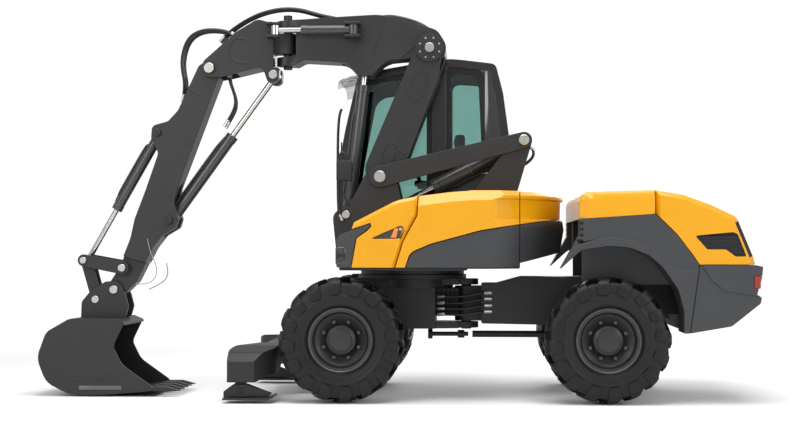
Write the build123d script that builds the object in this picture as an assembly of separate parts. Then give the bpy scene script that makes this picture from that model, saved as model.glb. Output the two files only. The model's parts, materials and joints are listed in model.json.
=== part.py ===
"""Wheeled excavator with an articulated chassis, millimetres, +Z up.

The machine faces -X and stands on Z = 0.  Its left side is -Y, where the boom is; the cab is on +Y.
Places are measured along X from halfway between the axles.  At the end every piece moves along X,
so that the origin is under the middle of the whole machine.
Side outlines are tables of rows (x, z, corner radius).
"""
import os
from math import acos, atan2, cos, degrees, hypot, radians, sin, tan

from build123d import *

os.makedirs("parts", exist_ok=True)

# ---------------------------------------------------------------- driving dimensions
WHEELBASE = 2256.0
AXLE_FRONT_X = -WHEELBASE / 2
AXLE_REAR_X = WHEELBASE / 2
TYRE_RADIUS = 535.0
TYRE_WIDTH = 420.0
TYRE_Y = 935.0
LUG_HEIGHT = 30.0
LUGS_PER_SIDE = 16
TYRE_FACETS = 32
RIM_RADIUS = 262.0
AXLE_Z = TYRE_RADIUS

SLEW_X = -565.0
ARTICULATION_X = -75.0
RING_RADIUS = 470.0
FRAME_TOP = 1040.0
DECK_BOTTOM = 1125.0
DECK_TOP = 1149.0
COVER_BOTTOM = DECK_TOP
HALF_WIDTH = 1130.0
TAIL_RADIUS = 1360.0
SEAM = 6.0
FIT = 0.2

BOOM_Y = -160.0
STRUT_HALF = 190.0
EAR = 32.0
PLAY = 6.0
CHEEK = 34.0

# pivots in the boom's plane, as (x, z)
FOOT = (-838.0, 1949.0)
KNEE = (-398.0, 3097.0)
MAIN_BASE = (438.0, 2270.0)
MAIN_EYE = (-912.0, 1577.0)
LIFT_BASE = (-1140.0, 1613.0)
LIFT_EYE = (-984.0, 2924.0)
DIPPER_PIVOT = (-2376.0, 2931.0)
DIPPER_CYL_EYE = (-1802.0, 2871.0)
DIPPER_CYL_BASE = (-2753.0, 1564.0)
BUCKET_CYL_BASE = (-2859.0, 2358.0)
LINK_PIN = (-3522.0, 1205.0)
ROCKER_PIVOT = (-3171.0, 1137.0)
BUCKET_PIVOT = (-3252.0, 941.0)
HITCH_PIN = (-3423.0, 851.0)

# the offset joint: a vertical pin through the boom's end, and its side cylinder, as (x, y)
OFFSET_PIN = (-1687.0, BOOM_Y)
OFFSET_BASE = (-1075.0, -415.0)
OFFSET_EYE = (-1770.0, -415.0)
OFFSET_Z = 3255.0

CAB_NEAR = 90.0
CAB_FAR = 1100.0
CAB_WALL = 50.0
DOOR_HINGE = (-330.0, CAB_FAR + 16.0)
HOOD_FRONT_X = SLEW_X + TAIL_RADIUS + 90.0
LID_HINGE = (1515.0, 1812.0)
LEG_PIVOT = (500.0, 400.0)
LEG_FRONT_X = AXLE_FRONT_X - TYRE_RADIUS - 177.0
BUCKET_WIDTH = 800.0
BUCKET_FRONT_X = -3885.0
BUMPER_REAR_X = 2405.0

nodes = {}


# ---------------------------------------------------------------- small helpers
def block(x0, x1, y0, y1, z0, z1):
    """Box between two corners."""
    middle = ((x0 + x1) / 2, (y0 + y1) / 2, (z0 + z1) / 2)
    return Pos(*middle) * Box(abs(x1 - x0), abs(y1 - y0), abs(z1 - z0))


def bar(start, end, radius):
    """Round bar between two points in space."""
    along = Vector(*end) - Vector(*start)
    seat = Plane(origin=start, z_dir=along)
    return seat * Cylinder(radius, along.length, align=(Align.CENTER, Align.CENTER, Align.MIN))


def pin_y(place, radius, y0, y1):
    """Round pin across the machine at (x, z)."""
    return bar((place[0], y0, place[1]), (place[0], y1, place[1]), radius)


def pin_z(place, radius, z0, z1):
    """Upright round pin at (x, y)."""
    return bar((place[0], place[1], z0), (place[0], place[1], z1), radius)


def pin_x(place, radius, x0, x1):
    """Round pin along the machine at (y, z)."""
    return bar((x0, place[0], place[1]), (x1, place[0], place[1]), radius)


def side_face(rows):
    """Face in the XZ plane from rows (x, z, corner radius)."""
    points = [(x, z) for x, z, _ in rows]
    radii = [radius for _, _, radius in rows]
    return make_face(Plane.XZ * FilletPolyline(*points, radius=radii, close=True))


def slab(face, y0, y1):
    """A side face drawn out across the machine from y0 to y1."""
    return Pos(0, y0, 0) * extrude(face, amount=y1 - y0, dir=(0, 1, 0))


def side_plate(rows, y0, y1):
    """Plate with a side outline between y0 and y1."""
    return slab(side_face(rows), y0, y1)


def plan_plate(rows, z0, z1):
    """Plate with an outline seen from above, rows (x, y, corner radius), between z0 and z1."""
    points = [(x, y) for x, y, _ in rows]
    radii = [radius for _, _, radius in rows]
    face = make_face(FilletPolyline(*points, radius=radii, close=True))
    return Pos(0, 0, z0) * extrude(face, amount=z1 - z0, dir=(0, 0, 1))


def tapered_link(start, end, start_radius, end_radius, y0, y1):
    """Plate with round ends about two pins (x, z), with straight tangent sides."""
    dx, dz = end[0] - start[0], end[1] - start[1]
    length = hypot(dx, dz)
    lean = atan2(dz, dx)
    spread = acos((start_radius - end_radius) / length)
    corners = []
    for centre, radius, side in (
        (start, start_radius, 1), (end, end_radius, 1), (end, end_radius, -1), (start, start_radius, -1)
    ):
        turn = lean + side * spread
        corners.append((centre[0] + radius * cos(turn), centre[1] + radius * sin(turn), 0))
    body = side_plate(corners, y0, y1)
    return body + [pin_y(start, start_radius, y0, y1), pin_y(end, end_radius, y0, y1)]


def together(shapes):
    """Separate solids kept in one piece."""
    return Compound(list(shapes))


def both_sides(shape):
    """A shape and its mirror image across the machine's middle."""
    return [shape, mirror(shape, about=Plane.XZ)]


def bevelled(solid, low, down, across, sides=(-1, 1)):
    """The long upper edges of a cover's outer side faces, sloped by `down` on the side and `across` on top."""
    for side in sides:
        outer = solid.faces().sort_by(Axis.Y)[0 if side < 0 else -1]
        edges = [edge for edge in outer.edges() if edge.bounding_box().min.Z > low]
        solid = chamfer(edges, down, across, reference=outer)
    return solid


# ---------------------------------------------------------------- wheels
def faceted_ring(rows, facets):
    """Ring of flat facets about Y, from rows (y, distance of the facet from the axis)."""
    half_turn = radians(180 / facets)
    reach = max(row[1] for row in rows) + 10
    width = reach * tan(half_turn)
    profile = make_face(Plane.YZ * Polyline(*rows, close=True))
    sector = Pos(-width, 0, 0) * extrude(profile, amount=2 * width, dir=(1, 0, 0))
    wedge = make_face(Plane.XZ * Polyline((0, 0), (width, reach), (-width, reach), close=True))
    sector &= Pos(0, -reach, 0) * extrude(wedge, amount=2 * reach, dir=(0, 1, 0))
    return Part() + [Rot(0, k * 360 / facets, 0) * sector for k in range(facets)]


TYRE_HALF = TYRE_WIDTH / 2
TREAD_RADIUS = TYRE_RADIUS - LUG_HEIGHT
BEAD_HALF = 146.0
tyre_body = faceted_ring([
    (-BEAD_HALF, RIM_RADIUS + 1), (-TYRE_HALF + 12, 318), (-TYRE_HALF, 400), (-TYRE_HALF + 40, TREAD_RADIUS),
    (TYRE_HALF - 40, TREAD_RADIUS), (TYRE_HALF, 400), (TYRE_HALF - 12, 318), (BEAD_HALF, RIM_RADIUS + 1),
], TYRE_FACETS)
LUG_THICKNESS = 60.0
LUG_SLANT = 24.0
lug_face = make_face(Plane.YZ * Polyline(
    (-10, TREAD_RADIUS - 15), (-10, TYRE_RADIUS), (150, TYRE_RADIUS - 12), (TYRE_HALF - 18, TREAD_RADIUS - 4),
    (TYRE_HALF - 4, 430), (TYRE_HALF - 40, 430), (130, TREAD_RADIUS - 25), close=True))
lug = Pos(-LUG_THICKNESS / 2, 0, 0) * extrude(lug_face, amount=LUG_THICKNESS, dir=(1, 0, 0))
lug = Rot(0, 0, LUG_SLANT) * lug
other_lug = Rot(0, 180 / LUGS_PER_SIDE, 0) * mirror(lug, about=Plane.XZ)
lug_pitch = 360 / LUGS_PER_SIDE
lugs = [Rot(0, k * lug_pitch, 0) * piece for k in range(LUGS_PER_SIDE) for piece in (lug, other_lug)]
tyre = tyre_body + lugs

rim_rows = [  # radius, y outwards
    (60, 40), (140, 40), (222, 92), (240, 150), (RIM_RADIUS + 12, 158), (RIM_RADIUS, BEAD_HALF),
    (RIM_RADIUS, -BEAD_HALF), (RIM_RADIUS + 12, -158), (236, -150), (214, 62), (130, 12), (60, 12),
]
rim_disc = revolve(make_face(Polyline(*rim_rows, close=True)), axis=Axis.Y)
hub_rows = [(0, -60), (140, -60), (140, 40), (124, 96), (92, 112), (92, 138), (0, 150)]
hub = revolve(make_face(Polyline(*hub_rows, close=True)), axis=Axis.Y)
rim = rim_disc + hub

WHEELS = [  # name, x, side
    ("front_left", AXLE_FRONT_X, -1),
    ("front_right", AXLE_FRONT_X, 1),
    ("rear_left", AXLE_REAR_X, -1),
    ("rear_right", AXLE_REAR_X, 1),
]
for name, wheel_x, side in WHEELS:
    turned = Rot(0, 0, 0) if side > 0 else Rot(0, 0, 180)
    place = Pos(wheel_x, side * TYRE_Y, AXLE_Z)
    nodes["tyre_" + name] = place * turned * tyre
    nodes["rim_" + name] = place * turned * rim

# ---------------------------------------------------------------- axles
HUB_INNER = TYRE_Y - 60 - FIT
axle_rows = [(0, -HUB_INNER), (110, -HUB_INNER), (80, -HUB_INNER + 120), (85, -230),
             (150, -150), (150, 150), (85, 230), (80, HUB_INNER - 120),
             (110, HUB_INNER), (0, HUB_INNER)]
axle = revolve(make_face(Polyline(*axle_rows, close=True)), axis=Axis.Y)
nodes["front_axle"] = Pos(AXLE_FRONT_X, 0, AXLE_Z) * axle
nodes["rear_axle"] = Pos(AXLE_REAR_X, 0, AXLE_Z) * axle

# ---------------------------------------------------------------- front frame
FRAME_BOTTOM = 595.0
FRAME_HALF = 300.0
NOSE_X = AXLE_FRONT_X - 522.0
front_rows = [(NOSE_X, 330, 20), (NOSE_X, 640, 120), (NOSE_X + 110, 860, 200), (NOSE_X + 270, 985, 100),
              (NOSE_X + 400, FRAME_TOP, 60), (-350, FRAME_TOP, 10), (-350, FRAME_BOTTOM, 10),
              (-775, FRAME_BOTTOM, 20), (-830, 690, 20), (AXLE_FRONT_X - 170, 690, 60),
              (NOSE_X + 250, 600, 100), (NOSE_X + 140, 330, 60)]
front_frame = side_plate(front_rows, -FRAME_HALF, FRAME_HALF)
for low, high in ((FRAME_BOTTOM, 650), (985, FRAME_TOP)):
    ear_rows = [(-355, -260, 0), (-140, -200, 0), (-140, 200, 0), (-355, 260, 0)]
    tongue = plan_plate(ear_rows, low, high)
    tongue += block(-145, ARTICULATION_X, -110, 110, low, high)
    tongue += pin_z((ARTICULATION_X, 0), 110, low, high)
    front_frame += tongue
front_frame += pin_z((ARTICULATION_X, 0), 45, FRAME_BOTTOM - 12, FRAME_TOP + 0)
front_frame += pin_z((SLEW_X, 0), 370, 960, FRAME_TOP)
PIVOT_Y, PIVOT_Z = LEG_PIVOT
EAR_NEAR = LEG_FRONT_X - 60
EAR_FAR = LEG_FRONT_X + 160
front_frame += block(EAR_NEAR, NOSE_X + 10, -PIVOT_Y + 75, PIVOT_Y - 75, PIVOT_Z - 55, PIVOT_Z + 55)
for side in (-1, 1):
    for x0 in (EAR_NEAR, EAR_FAR):
        front_frame += block(x0, x0 + 30, side * (PIVOT_Y - 120), side * PIVOT_Y, PIVOT_Z - 60, PIVOT_Z + 60)
        front_frame += pin_x((side * PIVOT_Y, PIVOT_Z), 60, x0, x0 + 30)
    front_frame += pin_x((side * PIVOT_Y, PIVOT_Z), 20, EAR_NEAR - 10, EAR_FAR + 40)
for x0 in (AXLE_FRONT_X - 90, AXLE_FRONT_X + 60):
    front_frame += block(x0, x0 + 30, -200, 200, AXLE_Z + 20, 700)
nodes["front_frame"] = front_frame - (Pos(AXLE_FRONT_X, 0, AXLE_Z) * axle)
nodes["turntable_lower"] = pin_z((SLEW_X, 0), RING_RADIUS + 20, FRAME_TOP, FRAME_TOP + 40)

# ---------------------------------------------------------------- rear frame
rear_rows = [(60, 640, 20), (60, 1000, 20), (200, 1000, 0), (420, 1060, 60),
             (2150, 1060, 60), (2150, 760, 60), (1500, 700, 0), (620, 630, 60)]
rear_frame = side_plate(rear_rows, -240, 240)
for x0 in (950, 1520):
    rear_frame += block(x0, x0 + 80, -660, 660, 1002, 1060)
rear_frame += pin_z((ARTICULATION_X, 0), 105, 660, 975) + block(ARTICULATION_X, 70, -105, 105, 660, 975)
rear_frame -= pin_z((ARTICULATION_X, 0), 45 + FIT, 600, 1100)
for x0 in (AXLE_REAR_X - 90, AXLE_REAR_X + 60):
    rear_frame += block(x0, x0 + 30, -200, 200, AXLE_Z + 20, 720)
nodes["rear_frame"] = rear_frame - (Pos(AXLE_REAR_X, 0, AXLE_Z) * axle)
nodes["driveshaft"] = bar((-20, 0, 535), (AXLE_REAR_X - 140, 0, 535), 30) - nodes["rear_axle"]
nodes["engine_block"] = block(1080, 1790, -330, 330, 1060, 1520)

# ---------------------------------------------------------------- rear body
ARCH = [(727, 1141, 0), (901, 1300, 150), (1126, 1333, 150), (1308, 1317, 150), (1473, 1250, 200),
        (1581, 1150, 200), (1705, 967, 200), (1754, 784, 150), (1754, 584, 0)]
HOOD_SEAM = ((HOOD_FRONT_X, 1559.0), (1515.0, 1600.0))


def seam_height(x):
    """Height of the straight seam between the fenders and the hood."""
    (x0, z0), (x1, z1) = HOOD_SEAM
    return z0 + (x - x0) * (z1 - z0) / (x1 - x0)


fender_rows = ARCH[:-1] + [(1754, 600, 0), (1800, 600, 0), (1880, 1172, 0), (1818, 1262, 200),
                           (1690, 1430, 200), (*HOOD_SEAM[1], 0), (*HOOD_SEAM[0], 0), (HOOD_FRONT_X, 1425, 0)]
ARCH_LIP = [(700, 1181, 0), (859, 1335, 120), (1127, 1412, 400), (1445, 1361, 300), (1690, 1130, 0),
            (1900, 1130, 0), (1900, 1700, 0), (600, 1700, 0), (600, 1181, 0)]
FENDER_Y = 1100.0
fender = side_plate(fender_rows, 700, FENDER_Y) - block(600, HOOD_FRONT_X + 45, 650, 860, 900, 1700)
inner_wall = side_plate([(HOOD_FRONT_X + 45, 1000, 0), (HOOD_FRONT_X + 45, seam_height(HOOD_FRONT_X + 45) - FIT, 0), (1515, 1600 - FIT, 0),
                         (1690, 1430, 0), (1790, 1250, 0), (1790, 1000, 0)], 660, 700)
fender -= side_plate(ARCH_LIP, FENDER_Y - 12, FENDER_Y + 5)
LOUVRES = 4
for k in range(LOUVRES):
    louvre_z = 1360 + 50 * k
    fender -= block(800, HOOD_FRONT_X + 30, FENDER_Y - 60, FENDER_Y + 5, louvre_z, louvre_z + 24)
nodes["rear_fenders"] = together(both_sides(fender + inner_wall))

hood_rows = [(*HOOD_SEAM[0], 0), (HOOD_FRONT_X, 1788, 85), (1512, 1802, 0), (1512, seam_height(1512), 0)]
hood_face = side_face(hood_rows)
hood_inner = side_face([(HOOD_FRONT_X + 50, 1500, 0), (HOOD_FRONT_X + 50, 1738, 60), (1550, 1752, 0),
                        (1550, 1500, 0)])
HOOD_HALF = 1090.0
hood_outer = slab(hood_face, -HOOD_HALF, HOOD_HALF)
for side_of in (0, -1):
    outer = hood_outer.faces().sort_by(Axis.Y)[side_of]
    rim_edges = [edge for edge in outer.edges()
                 if edge.bounding_box().min.Z > 1690 or edge.bounding_box().max.X < HOOD_FRONT_X + 1]
    hood_outer = chamfer(rim_edges, 60, 40, reference=outer)
hood_front = hood_outer - slab(hood_inner, -HOOD_HALF + 75, HOOD_HALF - 75)
HINGE_TABS = (-500, 500)
for y0 in HINGE_TABS:
    hood_front += block(1450, LID_HINGE[0], y0 - 40, y0 - 16, 1790, LID_HINGE[1])
    hood_front += pin_y(LID_HINGE, 10, y0 - 40, y0 - 16) + pin_y(LID_HINGE, 5, y0 - 40, y0 + 24)
nodes["hood_front"] = hood_front

lid_rows = [(1518, 1802, 0), (1746, 1762, 300), (1977, 1678, 300), (2195, 1574, 90), (2331, 1242, 100),
            (2347, 1176, 0), (1884, 1176, 0), (1822, 1266, 200), (1694, 1434, 200), (1518, 1606, 0)]
lid_inner = side_face([(1500, 1760, 0), (1740, 1718, 300), (1960, 1637, 300), (2158, 1545, 40),
                       (2292, 1232, 60), (2310, 1100, 0), (1500, 1100, 0)])
LID_HALF = HOOD_HALF
GRILLE = [(1844, 1418, 10), (2158, 1447, 10), (2196, 1430, 15), (2268, 1245, 10), (2180, 1243, 15), (2100, 1303, 30),
          (1946, 1303, 20)]
lid_outer = side_plate(lid_rows, -LID_HALF, LID_HALF)
for side_of in (0, -1):
    outer = lid_outer.faces().sort_by(Axis.Y)[side_of]
    rim_edges = [edge for edge in outer.edges()
                 if edge.center().Z > 1700 or edge.center().X > 1990 and edge.bounding_box().min.Z > 1177]
    lid_outer = chamfer(rim_edges, 40, 45, reference=outer)
engine_lid = lid_outer - slab(lid_inner, -LID_HALF + 60, LID_HALF - 60)
SLATS = 6
grille_face = side_face(GRILLE)
for side in (-1, 1):
    engine_lid -= slab(grille_face, *sorted((side * (LID_HALF - 16), side * (LID_HALF + 5))))
    slat_region = slab(grille_face, *sorted((side * (LID_HALF - 18), side * (LID_HALF - 6))))
    for k in range(SLATS):
        slat_z = 1262 + 31 * k
        engine_lid += slat_region & block(1700, 2400, -1200, 1200, slat_z, slat_z + 10)
for y0 in HINGE_TABS:
    knuckle = pin_y(LID_HINGE, 10, y0 - 13, y0 + 16)
    knuckle += block(LID_HINGE[0] + 3, LID_HINGE[0] + 70, y0 - 13, y0 + 16, 1780, LID_HINGE[1])
    engine_lid += knuckle
    engine_lid -= pin_y(LID_HINGE, 5 + FIT, y0 - 50, y0 + 30)
nodes["engine_lid"] = engine_lid

bumper_rows = [(1884, 1172, 0), (2347, 1172, 0), (2405, 1159, 10), (2397, 1059, 0), (2356, 926, 0),
               (2397, 902, 8), (2388, 852, 20), (2150, 660, 80), (1804, 600, 0)]
BUMPER_HALF = 1100.0
counterweight = side_plate(bumper_rows, -BUMPER_HALF, BUMPER_HALF)
lower_band = side_face([(1700, 1190, 0), (1890, 1190, 0), (1985, 1040, 60), (2090, 955, 80), (2450, 900, 0),
                        (2450, 500, 0), (1700, 500, 0)])
tail_lamp = side_face([(2322, 1090, 12), (2410, 1090, 0), (2410, 958, 0), (2330, 966, 12)])
lamp_lens = side_face([(2334, 1078, 8), (2386, 1078, 8), (2386, 974, 8), (2340, 980, 8)])
for side in (-1, 1):
    counterweight -= slab(lower_band, *sorted((side * (BUMPER_HALF - 14), side * (BUMPER_HALF + 5))))
    counterweight -= slab(tail_lamp, *sorted((side * (BUMPER_HALF - 14), side * (BUMPER_HALF + 5))))
    counterweight += slab(lamp_lens, *sorted((side * (BUMPER_HALF - 16), side * (BUMPER_HALF - 2))))
TOW_PIN = (2368.0, 0.0)
TOW_RADIUS = 16.0
TOW_JAW = (915.0, 975.0)
counterweight += block(2250, 2404, -85, 85, 845, 1060)
counterweight -= block(2310, 2450, -60, 60, *TOW_JAW) + pin_z(TOW_PIN, TOW_RADIUS, 800, 1250)
nodes["rear_counterweight"] = counterweight
nodes["rear_frame"] -= nodes["rear_counterweight"]

# ---------------------------------------------------------------- upper structure
COVER_TOP = 1802.0
TAIL_LIP = COVER_TOP - 70.0
tail_rows = [  # distance from the slew axis, z
    (0, 1000), (TAIL_RADIUS - 60, 1000), (TAIL_RADIUS - 22, 1277), (TAIL_RADIUS + 12, 1480), (TAIL_RADIUS, 1553),
    (TAIL_RADIUS - 24, 1560), (TAIL_RADIUS - 20, TAIL_LIP - 8), (TAIL_RADIUS, TAIL_LIP),
    (TAIL_RADIUS + 4, TAIL_LIP + 30), (TAIL_RADIUS - 60, COVER_TOP + 5), (0, COVER_TOP + 5),
]
tail_envelope = Pos(SLEW_X, 0, 0) * revolve(make_face(Plane.XZ * Polyline(*tail_rows, close=True)), axis=Axis.Z)
TAIL_FRONT_X = 388.0
deck = plan_plate([(-1150, -1080, 120), (TAIL_FRONT_X, -1080, 0), (TAIL_FRONT_X, 1080, 0), (-1150, 1080, 120)],
                  DECK_BOTTOM, DECK_TOP) - block(-60, 900, -1200, 1200, DECK_BOTTOM - 5, DECK_TOP - 10)
deck &= pin_z((SLEW_X, 0), TAIL_RADIUS - 90, 1000, 2000)
deck += pin_z((SLEW_X, 0), RING_RADIUS, FRAME_TOP + 40 + FIT, DECK_BOTTOM)
COVER_IN = BOOM_Y - STRUT_HALF - PLAY - CHEEK - 50
deck += side_plate([(-1080, DECK_TOP, 0), (-1080, 1440, 0), (-654, 1690, 0), (-201, 1760, 0), (380, 1780, 0),
                    (380, DECK_TOP, 0)], COVER_IN, COVER_IN + 12)
cross = block(TAIL_FRONT_X - SEAM / 2, TAIL_FRONT_X + SEAM / 2, -1080, 1080, DECK_TOP, 1780)
deck += cross & pin_z((SLEW_X, 0), TAIL_RADIUS - 40, 1000, 2000)
nodes["upper_deck"] = deck

cheek_rows = [(-1215, DECK_TOP, 40), (-1262, 1613, 90), (-1080, 1760, 60), (-975, 1960, 110), (-838, 2095, 120),
              (-700, 1960, 110), (-640, 1700, 200), (-400, 1450, 100), (-300, DECK_TOP, 0)]
mast_rows = [(-60, DECK_TOP, 0), (120, DECK_TOP, 0), (260, 1500, 200), (385, 1830, 100), (515, 2270, 70),
             (450, 2352, 60), (355, 2290, 60), (-20, 1800, 150)]
bracket = []
for y0 in (BOOM_Y - STRUT_HALF - PLAY - CHEEK, BOOM_Y + STRUT_HALF + PLAY):
    bracket.append(side_plate(cheek_rows, y0, y0 + CHEEK))
    bracket.append(side_plate(mast_rows, y0, y0 + CHEEK))
foot_pin = pin_y(FOOT, 38, BOOM_Y - STRUT_HALF - PLAY - CHEEK - 40, BOOM_Y + STRUT_HALF + PLAY + CHEEK)
bracket.append(pin_y(MAIN_BASE, 32, BOOM_Y - STRUT_HALF - PLAY - CHEEK - 40, BOOM_Y + STRUT_HALF + PLAY + CHEEK))
base_plate = block(-1210, 150, BOOM_Y - 236, BOOM_Y + 236, DECK_TOP, DECK_TOP + 30)
bracket_body = base_plate + bracket + [foot_pin]
nodes["boom_bracket"] = bracket_body - pin_y(LIFT_BASE, 24 + FIT, -600, 300)

left_brace = tapered_link(FOOT, MAIN_BASE, 95, 72, BOOM_Y - STRUT_HALF - PLAY - CHEEK - 34,
                          BOOM_Y - STRUT_HALF - PLAY - CHEEK - 2)
nodes["tie_brace"] = left_brace - foot_pin - pin_y(MAIN_BASE, 32, -600, 300)

cover_front = side_plate([(-1031, COVER_BOTTOM, 0), (-987, 1397, 40), (-899, 1458, 30), (-862, 1498, 8),
                          (-871, 1526, 0), (-1029, 1473, 0), (-1012, 1532, 0), (-654, 1716, 300), (-473, 1753, 0),
                          (-481, 1590, 60), (-600, 1370, 200), (-668, COVER_BOTTOM, 0)], -HALF_WIDTH, COVER_IN)
cover_front = bevelled(cover_front, 1531, 28, 30, sides=(-1,))
lamp_recess = side_plate([(-862, 1400, 8), (-612, 1506, 20), (-584, 1478, 15), (-620, 1394, 8), (-850, 1389, 8)],
                         -HALF_WIDTH - 5, -HALF_WIDTH + 14)
cover_front -= lamp_recess
cover_nose = side_plate([(-1160, COVER_BOTTOM, 20), (-1158, 1390, 60), (-1124, 1430, 0), (-1029, 1466, 0),
                         (-877, 1519, 0), (-868, 1500, 8), (-905, 1464, 30), (-994, 1401, 40),
                         (-1037, COVER_BOTTOM, 0)], -HALF_WIDTH + 4, COVER_IN)
cover_main = side_plate([(-661, COVER_BOTTOM, 0), (-594, 1367, 200), (-474, 1587, 60), (-466, 1754, 0),
                         (-201, 1787, 600), (0, COVER_TOP, 400), (385, COVER_TOP, 0), (385, 1515, 0), (59, 1465, 500),
                         (-360, 1352, 400), (-538, 1277, 100), (-580, COVER_BOTTOM, 0)], -HALF_WIDTH, COVER_IN)
cover_main = bevelled(cover_main, 1740, 85, 70, sides=(-1,))
cover_low = side_plate([(-573, COVER_BOTTOM, 0), (-532, 1271, 100), (-356, 1346, 400), (59, 1459, 500),
                        (385, 1509, 0), (385, COVER_BOTTOM, 0)], -HALF_WIDTH + 8, COVER_IN)
tail_high = side_plate([(391, 1516, 0), (391, COVER_TOP, 0), (900, COVER_TOP, 0), (900, 1592, 0)],
                       -HALF_WIDTH, HALF_WIDTH)
tail_high = bevelled(tail_high, 1740, 85, 70)
tail_low = side_plate([(391, 1187, 0), (391, 1510, 0), (900, 1586, 0), (900, 1309, 0)], -HALF_WIDTH + 4,
                      HALF_WIDTH - 4)
right_main = side_plate([(-50, 1450, 0), (-50, 1798, 0), (100, COVER_TOP, 300), (385, COVER_TOP, 0), (385, 1515, 0)],
                        -HALF_WIDTH, -300)
right_main = mirror(bevelled(right_main, 1740, 85, 70, sides=(-1,)), about=Plane.XZ)
right_low = mirror(side_plate([(-50, COVER_BOTTOM, 0), (-50, 1444, 0), (385, 1509, 0),
                               (385, COVER_BOTTOM, 0)], -HALF_WIDTH + 8, -300), about=Plane.XZ)
yellow = [piece & tail_envelope for piece in (cover_front, cover_main, tail_high, right_main)]
grey = [piece & tail_envelope for piece in (cover_nose, cover_low, tail_low, right_low)]
nodes["upper_covers"] = together(yellow)
nodes["upper_skirts"] = together(grey)

# ---------------------------------------------------------------- cab
cab_rows = [(-1230, DECK_TOP, 60), (-1268, 2080, 3000), (-1070, 2920, 90), (-253, 3061, 900), (193, 3006, 60),
            (262, 2740, 0), (383, 1850, 30), (-60, 1850, 20), (-60, DECK_TOP, 20)]
cab_face = side_face(cab_rows)
cab_outer = slab(cab_face, CAB_NEAR, CAB_FAR)
cab_inner = slab(offset(cab_face, amount=-CAB_WALL, kind=Kind.INTERSECTION), CAB_NEAR + CAB_WALL,
                 CAB_FAR - CAB_WALL)
window_face = offset(cab_face, amount=-75, kind=Kind.INTERSECTION)
window_all = slab(window_face, CAB_NEAR - 50, CAB_FAR + 50)
near_front = window_all & block(-1400, -400, CAB_NEAR - 40, CAB_NEAR + CAB_WALL + 20, 1500, 3200)
near_rear = window_all & block(-260, 600, CAB_NEAR - 40, CAB_NEAR + CAB_WALL + 20, 2000, 3200)
far_rear = window_all & block(-260, 600, CAB_FAR - CAB_WALL - 20, CAB_FAR + 40, 2000, 3200)
windscreen = block(-1400, -1000, CAB_NEAR + 70, CAB_FAR - 70, 1420, 2860)
rear_window = block(100, 500, CAB_NEAR + 90, CAB_FAR - 90, 2000, 2860)
DOOR_REAR_X = -338.0
door_face = offset(cab_face, amount=-30, kind=Kind.INTERSECTION)
door_region = slab(door_face, CAB_FAR - CAB_WALL, CAB_FAR)
door_opening = slab(door_face, CAB_FAR - CAB_WALL - 10, CAB_FAR + 10)
door_opening &= block(-1400, DOOR_REAR_X + 8, CAB_FAR - CAB_WALL - 10, CAB_FAR + 10, 1230, 3200)
cab = cab_outer - cab_inner - near_front - near_rear - far_rear - windscreen - rear_window - door_opening
HINGE_HEIGHTS = (1450, 2550)
for z0 in HINGE_HEIGHTS:
    cab += block(DOOR_HINGE[0] - 6, DOOR_HINGE[0] + 60, CAB_FAR, DOOR_HINGE[1] + 10, z0, z0 + 28)
    cab += pin_z(DOOR_HINGE, 10, z0, z0 + 28) + pin_z(DOOR_HINGE, 5, z0, z0 + 60)
nodes["cab_shell"] = cab

GLASS = 6.0
skin_out = slab(offset(cab_face, amount=-22, kind=Kind.INTERSECTION), CAB_NEAR + 22, CAB_FAR - 22)
skin_in = slab(offset(cab_face, amount=-22 - GLASS, kind=Kind.INTERSECTION), CAB_NEAR + 22 + GLASS,
               CAB_FAR - 22 - GLASS)
skin = skin_out - skin_in
panes = [skin & cutter for cutter in (near_front, near_rear, far_rear, windscreen, rear_window)]
nodes["cab_glass"] = together(panes)

door_shape_face = offset(cab_face, amount=-40, kind=Kind.INTERSECTION)
door_slab = slab(door_shape_face, CAB_FAR - CAB_WALL, CAB_FAR)
door_slab &= block(-1400, DOOR_REAR_X, CAB_FAR - CAB_WALL - 1, CAB_FAR + 1, 1240, 3200)
DOOR_CORNER = (90.0, 2994.0, 2960.0)
door_slab -= side_plate([(DOOR_REAR_X - DOOR_CORNER[0], 3200, 0), (DOOR_REAR_X - DOOR_CORNER[0], DOOR_CORNER[1], 0),
                         (DOOR_REAR_X + 1, DOOR_CORNER[2], 0), (DOOR_REAR_X + 1, 3200, 0)],
                        CAB_FAR - CAB_WALL - 5, CAB_FAR + 5)
door_window = slab(offset(cab_face, amount=-110, kind=Kind.INTERSECTION), CAB_FAR - CAB_WALL - 5, CAB_FAR + 5)
door_window &= block(-1400, DOOR_REAR_X - 70, CAB_FAR - CAB_WALL - 5, CAB_FAR + 5, 1420, 3200)
cab_door = door_slab - door_window
for z0 in HINGE_HEIGHTS:
    knuckle = block(DOOR_HINGE[0] - 60, DOOR_HINGE[0], CAB_FAR, DOOR_HINGE[1], z0 + 31, z0 + 59)
    knuckle += pin_z(DOOR_HINGE, 10, z0 + 31, z0 + 59)
    cab_door += knuckle - pin_z(DOOR_HINGE, 5 + FIT, z0, z0 + 70)
nodes["cab_door"] = cab_door
nodes["door_glass"] = door_window & block(-1400, 0, CAB_FAR - 30, CAB_FAR - 30 + GLASS, 1000, 3200)

nodes["seat"] = side_plate([(-640, 1640, 60), (-640, 1770, 60), (-250, 1750, 60), (-170, 2400, 40),
                            (-70, 2400, 40), (-120, 1900, 60), (-120, 1640, 40)], 350, 850)
nodes["seat_base"] = block(-600, -112, 380, 820, DECK_TOP + CAB_WALL, 1640)
column = bar((-1040, 600, 1250), (-880, 600, 1800), 35) + block(-1100, -980, 480, 720, DECK_TOP + CAB_WALL, 1300)
wheel_plane = Plane(origin=(-880, 600, 1800), z_dir=(0.26, 0, 0.965))
steering_wheel = wheel_plane * (Cylinder(184, 22) - Cylinder(158, 30) + Box(330, 40, 14))
nodes["steering_column"] = column + steering_wheel

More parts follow.
